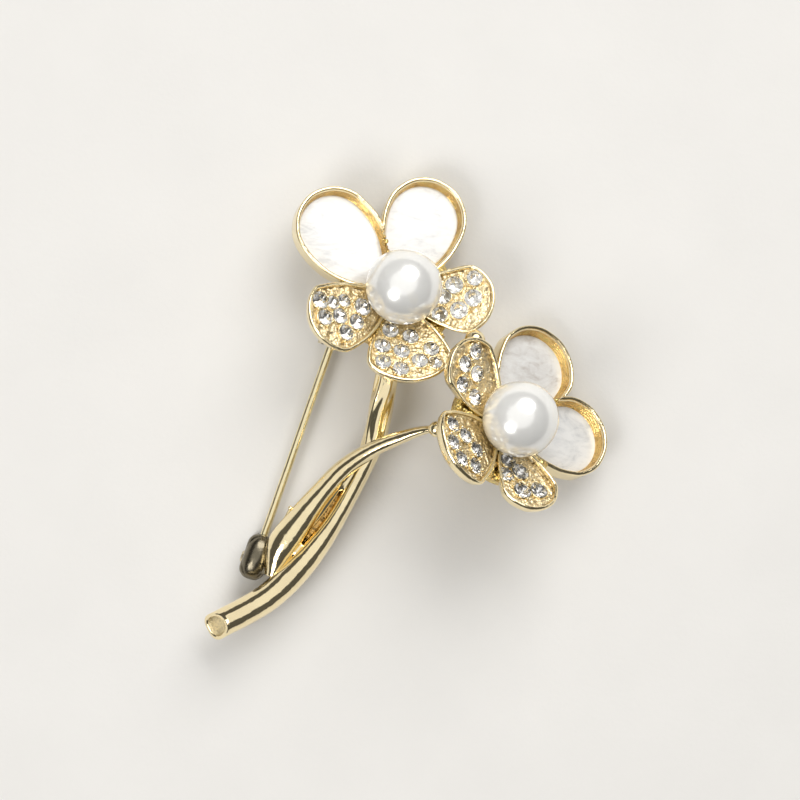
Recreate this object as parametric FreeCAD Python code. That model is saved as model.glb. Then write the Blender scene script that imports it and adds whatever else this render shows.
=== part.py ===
import FreeCAD, Part
import math
import os

# Two-flower spray brooch with pearls, shell petals, stone-set petals and a pin back.
# Millimetres.  Worn face is +Z, flower heads are toward +Y, the pin lies under the back.

# ---------------------------------------------------------------- driving sizes
PEARL_DIAMETER = 8.0          # round pearls, one per flower
PEARL_HOLE_DIAMETER = 1.0     # half-drilled hole for the peg
PEARL_HOLE_DEPTH = 3.2
PEARL_SEAT_GAP = 0.04         # glue film between pearl and metal
PEARL_SEAT_HEIGHT = 1.2       # bottom of the pearl above the flower's apex
PEARL_HEIGHT = PEARL_SEAT_HEIGHT + PEARL_DIAMETER / 2.0

STONE_LARGE = 1.9             # stone girdle diameters
STONE_MEDIUM = 1.7
STONE_SMALL = 1.44
STONE_SEAT_GAP = 0.02
STONE_STAND = 0.3             # girdle below the rim of its cup
STONE_PEARL_GAP = 0.01        # least gap between a stone and the pearl over it

SHELL_CUP_DEPTH = 2.8
SHELL_RIM_HEIGHT = 1.8        # rim above the apex, measured in the petal's own frame
SHELL_LIFT = 4.0              # degrees the petal rises toward its tip
SHELL_RIM_WIDTH = 0.45
SHELL_FLOOR_INSET = 0.9       # the inner wall slopes from the rim to this inset
SHELL_POCKET_DEPTH = 2.0
INLAY_THICKNESS = 0.55
INLAY_GAP = 0.04

PAVE_CUP_DEPTH = 1.6
PAVE_RIM_HEIGHT = 1.6
PAVE_LIFT = 18.0
PAVE_RIM_WIDTH = 0.42
PAVE_BED_INSET = 0.55
PAVE_BED_DEPTH = 0.45

PETAL_START = 1.4             # the petals' inner ends, from the apex
HUB_RADIUS = 6.0
PEG_CUP_RADIUS = 1.25

STEM_BACK = 3.9               # height of the stems' flat backs
WIRE_DIAMETER = 0.84
WIRE_HEIGHT = 2.0             # height of the pin's axis
CATCH_DISTANCE = 25.8         # pivot to the middle of the catch
PIN_OVERHANG = 1.8            # point beyond the middle of the catch
PIN_LENGTH = CATCH_DISTANCE + PIN_OVERHANG
PIN_TAPER = 3.4               # ground point
PIN_HEADING = 70.6            # degrees from +X to the pin's direction
PIVOT_X = -15.9
PIVOT_Y = -16.0
RIVET_DIAMETER = 0.9
RIVET_RUNNING_GAP = 0.05      # radial
EYE_WALL = 0.55
EYE_RADIUS = RIVET_DIAMETER / 2.0 + RIVET_RUNNING_GAP + EYE_WALL
EYE_WIDTH = 1.0
EYE_SIDE_GAP = 0.12
LUG_CHEEK = 0.75
LUG_ROOF_GAP = 0.2
LUG_FRONT = 2.9               # reach of the lug ahead of the pivot
LUG_BACK = 2.0                # and behind it
LUG_LET_IN = 0.4              # depth the lug is let into the stems' backs
LUG_CORNER = 1.15             # rounding of the lug's upright edges
LUG_CROWN = 0.8               # rounding of its top
REST_HEIGHT = 0.3             # flat foot of the hinge lug

HOUSING_RADIUS = 1.75
HOUSING_WALL = 0.5
HOUSING_LENGTH = 2.4
PIN_SLOT_GAP = 0.14           # between the pin and each side of the roller's slot
ROLLER_SLOT = WIRE_DIAMETER + 2.0 * PIN_SLOT_GAP
HOUSING_MOUTH = ROLLER_SLOT + 0.18
ROLLER_RUNNING_GAP = 0.05     # radial
ROLLER_END_GAP = 0.1
ROLLER_FLANGE = 0.45

# petals: bearing from +X, tip distance from the apex, width, all in the flower's own plane
UPPER_FLOWER = {"apex": (-1.3, 11.7, STEM_BACK + 1.1), "tilt": 19.0, "toward": 45.0}
LOWER_FLOWER = {"apex": (9.3, -2.5, STEM_BACK + 3.7), "tilt": 37.0, "toward": 30.0}

UPPER_PETALS = [
    ("upper_shell_cup_left", "shell", 132.5, 14.1, 9.0),
    ("upper_shell_cup_right", "shell", 68.5, 13.6, 9.0),
    ("upper_pave_cup_right", "pave", -6.0, 11.0, 7.6),
    ("upper_pave_cup_bottom", "pave", -84.0, 11.1, 9.4),
    ("upper_pave_cup_left", "pave", -155.5, 11.9, 7.8),
]
LOWER_PETALS = [
    ("lower_shell_cup_top", "shell", 56.0, 13.3, 9.3),
    ("lower_shell_cup_right", "shell", -1.0, 12.9, 8.9),
    ("lower_pave_cup_bottom", "pave", -79.0, 10.7, 7.0),
    ("lower_pave_cup_left", "pave", -154.0, 11.0, 8.6),
    ("lower_pave_cup_top", "pave", 128.5, 11.2, 7.4),
]

# stones of each petal: along the petal from the apex, across it, girdle diameter
STONES = {
    "upper_pave_cup_right": [
        (6.5, 1.5, STONE_LARGE), (8.6, 2.4, STONE_MEDIUM), (8.6, 0.2, STONE_LARGE),
        (7.2, -1.2, STONE_LARGE), (5.2, -1.8, STONE_MEDIUM), (5.4, 0.2, STONE_MEDIUM)],
    "upper_pave_cup_bottom": [
        (4.6, -1.4, STONE_MEDIUM), (5.5, 0.6, STONE_MEDIUM), (6.4, -2.6, STONE_MEDIUM),
        (7.2, -0.7, STONE_MEDIUM), (7.2, 2.5, STONE_MEDIUM), (8.3, -2.9, STONE_MEDIUM),
        (9.3, -1.2, STONE_MEDIUM), (8.5, 1.0, STONE_MEDIUM), (8.9, 2.6, STONE_SMALL)],
    "upper_pave_cup_left": [
        (9.4, -2.3, STONE_LARGE), (8.1, -1.6, STONE_SMALL), (6.7, -1.4, STONE_SMALL),
        (4.9, -0.1, STONE_LARGE), (9.8, -0.4, STONE_MEDIUM), (8.0, 0.0, STONE_MEDIUM),
        (6.4, 1.2, STONE_MEDIUM), (8.2, 1.9, STONE_MEDIUM)],
    "lower_pave_cup_bottom": [
        (4.2, -0.9, STONE_MEDIUM), (5.8, -2.0, STONE_MEDIUM), (5.7, -0.1, STONE_LARGE),
        (8.0, -1.0, STONE_LARGE), (8.2, 1.0, STONE_LARGE)],
    "lower_pave_cup_left": [
        (7.7, -2.6, STONE_MEDIUM), (6.6, -1.0, STONE_MEDIUM), (9.1, -0.9, STONE_MEDIUM),
        (5.9, 0.8, STONE_MEDIUM), (9.1, 1.0, STONE_MEDIUM), (7.5, 2.3, STONE_MEDIUM)],
    "lower_pave_cup_top": [
        (9.1, -1.5, STONE_MEDIUM), (8.8, 0.5, STONE_MEDIUM), (7.1, -0.4, STONE_MEDIUM),
        (7.2, 2.0, STONE_MEDIUM), (5.2, 1.2, STONE_MEDIUM)],
}

# stems: x, y of the centre line, height of the back, width, thickness
MAIN_STEM = [
    (-22.2, -24.0, STEM_BACK, 3.0, 2.8), (-19.8, -22.7, STEM_BACK, 3.0, 2.9),
    (-17.2, -21.4, STEM_BACK, 3.1, 2.9), (-14.4, -19.7, STEM_BACK, 3.1, 2.9),
    (-11.9, -17.4, STEM_BACK, 3.1, 2.9), (-9.4, -14.5, STEM_BACK, 2.7, 2.7),
    (-7.5, -11.8, STEM_BACK, 2.2, 2.4), (-6.0, -9.2, STEM_BACK, 2.0, 2.2),
    (-4.5, -6.2, STEM_BACK, 2.1, 2.1), (-3.2, -2.8, STEM_BACK, 2.5, 2.0),
    (-2.55, 0.1, STEM_BACK, 2.6, 2.1), (-2.0, 3.3, STEM_BACK, 2.5, 2.2),
    (-1.6, 6.0, STEM_BACK, 2.3, 2.1), (-1.3, 9.4, STEM_BACK, 2.2, 1.8),
]
SIDE_STEM = [
    (-14.1, -17.6, STEM_BACK, 1.6, 1.6), (-13.1, -14.7, STEM_BACK, 3.3, 2.5),
    (-11.2, -11.9, STEM_BACK, 3.1, 2.9), (-8.9, -8.9, STEM_BACK, 2.5, 2.9),
    (-6.3, -6.1, STEM_BACK + 0.8, 2.1, 2.3), (-3.5, -4.2, STEM_BACK + 1.8, 1.7, 1.9),
    (-0.5, -2.9, STEM_BACK + 3.1, 1.4, 1.5), (1.6, -2.2, STEM_BACK + 4.4, 1.0, 1.2),
    (3.1, -1.9, STEM_BACK + 5.5, 0.7, 0.9),
]
STEM_CUT_POINT = (-19.9, -22.8)   # middle of the slanted cut end
STEM_CUT_LEAN = 50.0              # degrees between the cut's normal and the vertical
STEM_CUT_RECESS = 0.35


def vec(x, y, z=0.0):
    return FreeCAD.Vector(x, y, z)


# ---------------------------------------------------------------- petal outline
def arc_edge(centre, radius, a0, a1, z):
    mid = (a0 + a1) / 2.0
    points = []
    for a in (a0, mid, a1):
        points.append(vec(centre[0] + radius * math.cos(a), centre[1] + radius * math.sin(a), z))
    return Part.Arc(points[0], points[1], points[2]).toShape()


def outline_shape(kind):
    # corner radius, root radius, side-arc radius, distance of the corner centres from the tip
    if kind == "shell":
        return 3.0, 1.3, 9.0, 4.2
    return 1.4, 1.3, 12.0, 2.9


def petal_outline(kind, length, width, inset, z):
    """Closed wire of six tangent arcs: tip, two corners, two sides and the rounded root."""
    corner, root, belly, back = outline_shape(kind)
    cx = length - back
    cy = width / 2.0 - corner
    tip_x = ((length - corner) ** 2 - cx ** 2 - cy ** 2) / (2.0 * ((length - corner) - cx))
    tip_r = length - tip_x
    root_x = PETAL_START + root
    dx = cx - root_x
    dist = math.hypot(dx, cy)
    r1 = belly - root
    r2 = belly - corner
    along = (r1 ** 2 - r2 ** 2 + dist ** 2) / (2.0 * dist)
    off = math.sqrt(r1 ** 2 - along ** 2)
    ux = dx / dist
    uy = cy / dist
    sx = root_x + ux * along + uy * off
    sy = uy * along - ux * off
    a_tip = math.atan2(cy, cx - tip_x)
    a_side = math.atan2(cy - sy, cx - sx)
    a_root = math.atan2(-sy, root_x - sx)
    side_r = belly - inset
    corner_r = corner - inset
    edges = [
        arc_edge((tip_x, 0.0), tip_r - inset, -a_tip, a_tip, z),
        arc_edge((cx, cy), corner_r, a_tip, a_side, z),
        arc_edge((sx, sy), side_r, a_side, a_root, z),
        arc_edge((root_x, 0.0), root - inset, a_root, 2.0 * math.pi - a_root, z),
        arc_edge((sx, -sy), side_r, -a_root, -a_side, z),
        arc_edge((cx, -cy), corner_r, -a_side, -a_tip, z),
    ]
    return Part.Wire(edges)


def outline_loft(kind, length, width, stations):
    """Solid through petal outlines given as (inset, height) pairs."""
    wires = []
    for inset, z in stations:
        wires.append(petal_outline(kind, length, width, inset, z))
    return Part.makeLoft(wires, True, True)


# ---------------------------------------------------------------- placements
def flower_placement(flower):
    toward = math.radians(flower["toward"])
    axis = vec(-math.sin(toward), math.cos(toward))
    turn = FreeCAD.Rotation(axis, flower["tilt"])
    return FreeCAD.Placement(vec(*flower["apex"]), turn)


def petal_placement(flower, bearing, lift):
    own = FreeCAD.Rotation(vec(0, 0, 1), bearing)
    rise = FreeCAD.Rotation(vec(0, 1, 0), -lift)
    return flower_placement(flower).multiply(FreeCAD.Placement(vec(0, 0, 0), own.multiply(rise)))


def placed(shape, placement):
    moved = shape.copy()
    moved.transformShape(placement.toMatrix(), True)
    return moved


# ---------------------------------------------------------------- petal pieces
def rim_height(kind):
    return SHELL_RIM_HEIGHT if kind == "shell" else PAVE_RIM_HEIGHT


def cup_body(kind, length, width):
    """Closed outer form of a cup: drafted foot, wall and a small rounded lip."""
    rim = rim_height(kind)
    if kind == "shell":
        foot = [(0.55, rim - SHELL_CUP_DEPTH), (0.1, rim - SHELL_CUP_DEPTH + 0.6)]
    else:
        foot = [(0.8, rim - PAVE_CUP_DEPTH), (0.3, rim - PAVE_CUP_DEPTH + 0.5)]
    return outline_loft(kind, length, width, foot + [(0.0, rim - 0.2), (0.12, rim)])


def cup_pocket(kind, length, width):
    rim = rim_height(kind)
    if kind == "shell":
        floor = (SHELL_FLOOR_INSET, rim - SHELL_POCKET_DEPTH)
        mouth = (SHELL_RIM_WIDTH, rim - 0.1)
        lip = SHELL_RIM_WIDTH - 0.1
    else:
        floor = (PAVE_BED_INSET, rim - PAVE_BED_DEPTH)
        mouth = (PAVE_RIM_WIDTH, rim - 0.1)
        lip = PAVE_RIM_WIDTH - 0.1
    return outline_loft(kind, length, width, [floor, mouth, (lip, rim + 0.02)])


def air_above(kind, length, width):
    """Open space over a petal, kept clear of the hub."""
    rim = rim_height(kind)
    return outline_loft(kind, length, width, [(0.1, rim - 0.3), (0.1, rim + 4.0)])


def shell_inlay(length, width):
    """Flat blade of shell lying on the floor of its cup."""
    low = SHELL_RIM_HEIGHT - SHELL_POCKET_DEPTH
    inset = SHELL_FLOOR_INSET + INLAY_GAP
    edge = 0.1
    top = low + INLAY_THICKNESS
    stations = [(inset, low), (inset, top - edge), (inset + edge, top)]
    return outline_loft("shell", length, width, stations)


def polygon_wire(radius, z, sides, turn):
    points = []
    for k in range(sides + 1):
        a = math.radians(turn) + 2.0 * math.pi * (k % sides) / sides
        points.append(vec(radius * math.cos(a), radius * math.sin(a), z))
    return Part.makePolygon(points)


def stone(diameter, turn):
    """Round-cut stone: flat table, sloping crown, thin girdle, pointed pavilion; girdle at z = 0."""
    r = diameter / 2.0
    levels = [(0.12 * r, -0.8 * r), (r, -0.04 * r), (r, 0.04 * r), (0.56 * r, 0.36 * r)]
    wires = []
    for radius, z in levels:
        wires.append(polygon_wire(radius, z, 8, turn))
    return Part.makeLoft(wires, True, True)


def stone_seat(diameter):
    """Conical seat a hair wider than the stone, open upward."""
    r = diameter / 2.0 + STONE_SEAT_GAP
    cone = Part.makeCone(0.1 * r, r, 0.84 * r, vec(0, 0, -0.88 * r))
    bore = Part.makeCylinder(r, 0.8, vec(0, 0, -0.04 * r - 0.001))
    return cone.fuse(bore)


def clear_of_pearl(along, across, diameter):
    """A stone's place, moved out along its own line from the pearl if the pearl would reach it."""
    r = diameter / 2.0
    lift = math.radians(PAVE_LIFT)
    middle = PEARL_HEIGHT * math.sin(lift)
    girdle = PAVE_RIM_HEIGHT - STONE_STAND
    reach = PEARL_DIAMETER / 2.0 + STONE_PEARL_GAP
    needed = 0.0
    for radius, z in [(r, girdle), (0.56 * r, girdle + 0.36 * r)]:
        below = PEARL_HEIGHT * math.cos(lift) - z
        if reach > below:
            needed = max(needed, math.sqrt(reach ** 2 - below ** 2) + radius)
    distance = math.hypot(along - middle, across)
    if distance >= needed:
        return along, across
    share = needed / distance
    return middle + (along - middle) * share, across * share


def at_stone(shape, along, across):
    moved = shape.copy()
    moved.translate(vec(along, across, PAVE_RIM_HEIGHT - STONE_STAND))
    return moved


def sector(flower, a0, a1):
    """Tall wedge of the flower between two bearings, used to share the seam between two cups."""
    far = 40.0
    tall = 30.0
    span = math.radians(a1 - a0)
    points = [vec(0, 0, -tall)]
    for k in range(3):
        a = math.radians(a0) + span * k / 2.0
        points.append(vec(far * math.cos(a), far * math.sin(a), -tall))
    points.append(points[0])
    wedge = Part.Face(Part.makePolygon(points)).extrude(vec(0, 0, 2.0 * tall))
    return placed(wedge, flower_placement(flower))


def seams(petals):
    """Seam bearings on both sides of every petal, halfway to its neighbours."""
    bearings = [p[2] for p in petals]
    ordered = sorted(bearings)
    result = {}
    for p in petals:
        i = ordered.index(p[2])
        before = ordered[i - 1] if i > 0 else ordered[-1] - 360.0
        after = ordered[i + 1] if i + 1 < len(ordered) else ordered[0] + 360.0
        result[p[0]] = ((p[2] + before) / 2.0, (p[2] + after) / 2.0)
    return result


# ---------------------------------------------------------------- flower
def pearl_centre(flower):
    return flower_placement(flower).multVec(vec(0, 0, PEARL_HEIGHT))


def pearl(flower):
    centre = vec(0, 0, PEARL_HEIGHT)
    ball = Part.makeSphere(PEARL_DIAMETER / 2.0, centre)
    start = PEARL_HEIGHT - PEARL_DIAMETER / 2.0 - 0.5
    hole = Part.makeCylinder(PEARL_HOLE_DIAMETER / 2.0, PEARL_HOLE_DEPTH + 0.5, vec(0, 0, start))
    return placed(ball.cut(hole), flower_placement(flower))


def pearl_space(flower):
    return Part.makeSphere(PEARL_DIAMETER / 2.0 + PEARL_SEAT_GAP, pearl_centre(flower))


def pearl_peg_cup(flower, hub_top):
    """Small dished cup under the pearl with the peg that enters its hole."""
    base = Part.makeCone(PEG_CUP_RADIUS - 0.3, PEG_CUP_RADIUS, 1.4, vec(0, 0, hub_top))
    dish = Part.makeSphere(PEARL_DIAMETER / 2.0, vec(0, 0, PEARL_HEIGHT))
    peg_radius = PEARL_HOLE_DIAMETER / 2.0 - 0.02
    bottom = PEARL_HEIGHT - PEARL_DIAMETER / 2.0
    peg = Part.makeCylinder(peg_radius, bottom + PEARL_HOLE_DEPTH - 0.4 - hub_top, vec(0, 0, hub_top))
    return placed(base.cut(dish).fuse(peg), flower_placement(flower))


def hub_blank(flower):
    """Dished disc joining the petals; it also fills the seams between them."""
    section = [(0.0, -1.5), (2.6, -1.5), (4.4, -0.6), (HUB_RADIUS - 0.9, 0.5),
               (HUB_RADIUS + 0.2, 1.3), (HUB_RADIUS + 0.2, 2.1), (HUB_RADIUS - 0.3, 2.5),
               (2.2, 1.0), (0.0, 0.6)]
    points = [vec(r, 0, z) for r, z in section]
    points.append(points[0])
    disc = Part.Face(Part.makePolygon(points)).revolve(vec(0, 0, 0), vec(0, 0, 1), 360)
    return placed(disc, flower_placement(flower))


def build_flower(flower, petals, prefix, neighbours):
    """All pieces of one flower; neighbours are solids that already occupy their space."""
    pieces = {}
    bodies = []
    open_air = []
    bounds = seams(petals)
    space = pearl_space(flower)
    for name, kind, bearing, length, width in petals:
        lift = SHELL_LIFT if kind == "shell" else PAVE_LIFT
        where = petal_placement(flower, bearing, lift)
        wedge = sector(flower, bounds[name][0], bounds[name][1])
        outer = placed(cup_body(kind, length, width), where).common(wedge)
        for other in neighbours:
            outer = outer.cut(other)
        bodies.append(outer)
        open_air.append(placed(air_above(kind, length, width), where))
        cup = outer.cut(placed(cup_pocket(kind, length, width), where)).cut(space)
        if kind == "shell":
            inlay = placed(shell_inlay(length, width), where).cut(space)
            pieces[name.replace("_cup_", "_inlay_")] = inlay.common(wedge)
        else:
            stones = []
            seats = []
            for i, (stated_along, stated_across, size) in enumerate(STONES[name]):
                along, across = clear_of_pearl(stated_along, stated_across, size)
                stones.append(placed(at_stone(stone(size, 11.0 * i), along, across), where))
                seats.append(placed(at_stone(stone_seat(size), along, across), where))
            cup = cup.cut(Part.makeCompound(seats))
            pieces[name.replace("_cup_", "_stones_")] = Part.makeCompound(stones)
        pieces[name] = cup
    hub = hub_blank(flower)
    for other in bodies + open_air:
        hub = hub.cut(other)
    hub = largest_solid(hub.cut(space))
    peg_cup = pearl_peg_cup(flower, 0.6)
    for other in bodies + [hub]:
        peg_cup = peg_cup.cut(other)
    pieces[prefix + "_flower_hub"] = hub
    pieces[prefix + "_pearl"] = pearl(flower)
    pieces[prefix + "_pearl_peg"] = peg_cup
    return pieces, bodies


def largest_solid(shape):
    return max(shape.Solids, key=lambda s: s.Volume)


# ---------------------------------------------------------------- stems
def stem_section(x, y, back, width, thickness, heading, ridge):
    """Closed smooth section: flat back, rounded sides and an off-centre ridge."""
    side = vec(-math.sin(heading), math.cos(heading))
    half = width / 2.0
    profile = [(-0.62, 0.02), (-0.93, 0.2), (-0.98, 0.42), (-0.66 + ridge * 0.4, 0.78),
               (ridge, 1.0), (0.66 + ridge * 0.4, 0.78), (0.98, 0.42), (0.93, 0.2), (0.62, 0.02)]
    points = []
    for across, up in profile:
        points.append(vec(x, y, back + up * thickness) + side * (across * half))
    curve = Part.BSplineCurve()
    curve.interpolate(points)
    return Part.Wire([curve.toShape(), Part.makeLine(points[-1], points[0])])


def stem_solid(stations, ridge):
    wires = []
    count = len(stations)
    for i in range(count):
        a = stations[max(i - 1, 0)]
        b = stations[min(i + 1, count - 1)]
        heading = math.atan2(b[1] - a[1], b[0] - a[0])
        x, y, back, width, thickness = stations[i]
        wires.append(stem_section(x, y, back, width, thickness, heading, ridge))
    return Part.makeLoft(wires, True, False)


def cut_end_tools():
    """Half-space beyond the slanted cut at the stem's foot, and the shallow recess in the cut face."""
    first = MAIN_STEM[0]
    third = MAIN_STEM[2]
    heading = math.degrees(math.atan2(third[1] - first[1], third[0] - first[0]))
    away = FreeCAD.Rotation(vec(0, 0, 1), heading).multVec(vec(-1, 0, 0))
    lean = math.radians(STEM_CUT_LEAN)
    normal = away * math.sin(lean) + vec(0, 0, 1) * math.cos(lean)
    middle = vec(STEM_CUT_POINT[0], STEM_CUT_POINT[1], STEM_BACK + MAIN_STEM[1][4] / 2.0)
    turn = FreeCAD.Rotation(vec(0, 0, 1), normal)
    block = Part.makeBox(16, 16, 10, vec(-8, -8, 0))
    block = placed(block, FreeCAD.Placement(middle, turn))
    centre = middle - normal * STEM_CUT_RECESS
    recess = Part.makeCylinder(1.02, 2.0, centre, normal)
    return block, recess


def main_stem():
    block, recess = cut_end_tools()
    return stem_solid(MAIN_STEM, 0.0).cut(block).cut(recess)


def oblong(x0, y0, x1, y1, width, z0, z1):
    """Upright slab with round ends between two points."""
    length = math.hypot(x1 - x0, y1 - y0)
    angle = math.degrees(math.atan2(y1 - y0, x1 - x0))
    half = width / 2.0
    slab = Part.makeBox(length, width, z1 - z0, vec(0, -half, 0))
    slab = slab.fuse(Part.makeCylinder(half, z1 - z0, vec(0, 0, 0)))
    slab = slab.fuse(Part.makeCylinder(half, z1 - z0, vec(length, 0, 0)))
    turn = FreeCAD.Rotation(vec(0, 0, 1), angle)
    return placed(slab.removeSplitter(), FreeCAD.Placement(vec(x0, y0, z0), turn))


# ---------------------------------------------------------------- pin back
def pin_frame(distance):
    """Placement on the pin's axis: X along the pin, Y to its left, Z toward the worn face."""
    turn = FreeCAD.Rotation(vec(0, 0, 1), PIN_HEADING)
    start = vec(PIVOT_X, PIVOT_Y, WIRE_HEIGHT)
    along = turn.multVec(vec(1, 0, 0))
    return FreeCAD.Placement(start + along * distance, turn)


def pin_stem():
    """Flat eye, straight wire and ground point, one piece."""
    r = WIRE_DIAMETER / 2.0
    taper = PIN_TAPER
    eye = Part.makeCylinder(EYE_RADIUS, EYE_WIDTH, vec(0, -EYE_WIDTH / 2.0, 0), vec(0, 1, 0))
    wire = Part.makeCylinder(r, PIN_LENGTH - taper, vec(0, 0, 0), vec(1, 0, 0))
    point = Part.makeCone(r, 0.06, taper, vec(PIN_LENGTH - taper, 0, 0), vec(1, 0, 0))
    bore_radius = RIVET_DIAMETER / 2.0 + RIVET_RUNNING_GAP
    bore = Part.makeCylinder(bore_radius, 4.0, vec(0, -2.0, 0), vec(0, 1, 0))
    return placed(eye.fuse([wire, point]).cut(bore), pin_frame(0.0))


def lug_half_width():
    return EYE_WIDTH / 2.0 + EYE_SIDE_GAP + LUG_CHEEK


def lug_block():
    half = lug_half_width()
    top = STEM_BACK + LUG_LET_IN - WIRE_HEIGHT
    low = REST_HEIGHT - WIRE_HEIGHT
    return Part.makeBox(LUG_FRONT + LUG_BACK, 2.0 * half, top - low, vec(-LUG_BACK, -half, low))


def lug_web():
    """Low ledge that carries the lug in under the stems."""
    start = vec(-0.9, -lug_half_width() - 2.2, STEM_BACK - WIRE_HEIGHT - 0.7)
    return Part.makeBox(3.2, 3.4, 1.0, start)


def lug_seat():
    """Pocket in the stems' backs that takes the lug and its ledge."""
    return placed(lug_block().fuse(lug_web()), pin_frame(0.0))


def hinge_lug():
    """Rounded cast block, slotted from below for the pin's eye."""
    top = STEM_BACK + LUG_LET_IN - WIRE_HEIGHT
    low = REST_HEIGHT - WIRE_HEIGHT
    block = lug_block()
    upright = [edge for edge in block.Edges if edge.BoundBox.ZLength > 0.1]
    block = block.makeFillet(LUG_CORNER, upright)
    top_edges = [edge for edge in block.Edges if edge.BoundBox.ZMin > top - 0.01]
    block = block.makeFillet(LUG_CROWN, top_edges)
    slot_half = EYE_WIDTH / 2.0 + EYE_SIDE_GAP
    roof = EYE_RADIUS + LUG_ROOF_GAP
    slot_back = EYE_RADIUS + LUG_ROOF_GAP
    slot = Part.makeBox(LUG_FRONT + slot_back + 1.0, 2.0 * slot_half, roof - low + 1.0,
                        vec(-slot_back, -slot_half, low - 1.0))
    rivet_hole = Part.makeCylinder(RIVET_DIAMETER / 2.0, 6.0, vec(0, -3.0, 0), vec(0, 1, 0))
    lug = block.fuse(lug_web()).cut(slot).cut(rivet_hole)
    return placed(largest_solid(lug), pin_frame(0.0))


def hinge_rivet():
    half = lug_half_width()
    r = RIVET_DIAMETER / 2.0
    shank = Part.makeCylinder(r, 2.0 * half + 0.4, vec(0, -half - 0.2, 0), vec(0, 1, 0))
    heads = []
    for side in (-1.0, 1.0):
        start = vec(0, side * half, 0)
        heads.append(Part.makeCone(r + 0.25, r + 0.05, 0.22, start, vec(0, side, 0)))
    return placed(shank.fuse(heads), pin_frame(0.0))


def catch_housing():
    """Open ring in which the roller turns, with a flat pad that is soldered to the strap."""
    half = HOUSING_LENGTH / 2.0
    inner = HOUSING_RADIUS - HOUSING_WALL
    ring = Part.makeCylinder(HOUSING_RADIUS, HOUSING_LENGTH, vec(-half, 0, 0), vec(1, 0, 0))
    pad_top = STEM_BACK - 0.1 - WIRE_HEIGHT
    pad = Part.makeBox(HOUSING_LENGTH, 2.4, pad_top, vec(-half, -1.2, 0))
    bore = Part.makeCylinder(inner, HOUSING_LENGTH + 2.0, vec(-half - 1.0, 0, 0), vec(1, 0, 0))
    mouth = Part.makeBox(HOUSING_LENGTH + 2.0, HOUSING_MOUTH, 4.0,
                         vec(-half - 1.0, -HOUSING_MOUTH / 2.0, -4.0))
    return placed(ring.fuse(pad).cut(bore).cut(mouth), pin_frame(CATCH_DISTANCE))


def catch_roller():
    """Slotted roller with end flanges and a thumb tab; shown turned shut over the pin."""
    inner = HOUSING_RADIUS - HOUSING_WALL
    r = inner - ROLLER_RUNNING_GAP
    half = HOUSING_LENGTH / 2.0 + ROLLER_END_GAP
    body = Part.makeCylinder(r, 2.0 * half, vec(-half, 0, 0), vec(1, 0, 0))
    flange_r = inner + 0.2
    near = Part.makeCylinder(flange_r, ROLLER_FLANGE, vec(-half - ROLLER_FLANGE, 0, 0), vec(1, 0, 0))
    far = Part.makeCylinder(flange_r, ROLLER_FLANGE, vec(half, 0, 0), vec(1, 0, 0))
    tab = Part.makeBox(ROLLER_FLANGE, 0.7, 2.15, vec(-half - ROLLER_FLANGE, -0.35, 0))
    tab.rotate(vec(0, 0, 0), vec(1, 0, 0), 45)
    end = half + ROLLER_FLANGE + 1.0
    slot = Part.makeBox(2.0 * end, 4.0, ROLLER_SLOT, vec(-end, -4.0, -ROLLER_SLOT / 2.0))
    round_end = Part.makeCylinder(ROLLER_SLOT / 2.0, 2.0 * end, vec(-end, 0, 0), vec(1, 0, 0))
    roller = body.fuse([near, far, tab]).cut(slot.fuse(round_end))
    return placed(roller, pin_frame(CATCH_DISTANCE))


def catch_strap(flower):
    """Strap from the flower's back to the top of the catch."""
    catch = pin_frame(CATCH_DISTANCE).Base
    apex = flower["apex"]
    bottom = STEM_BACK - 0.1
    return oblong(catch.x, catch.y, apex[0] - 1.0, apex[1] - 0.4, 2.6, bottom, bottom + 0.8)


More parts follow.
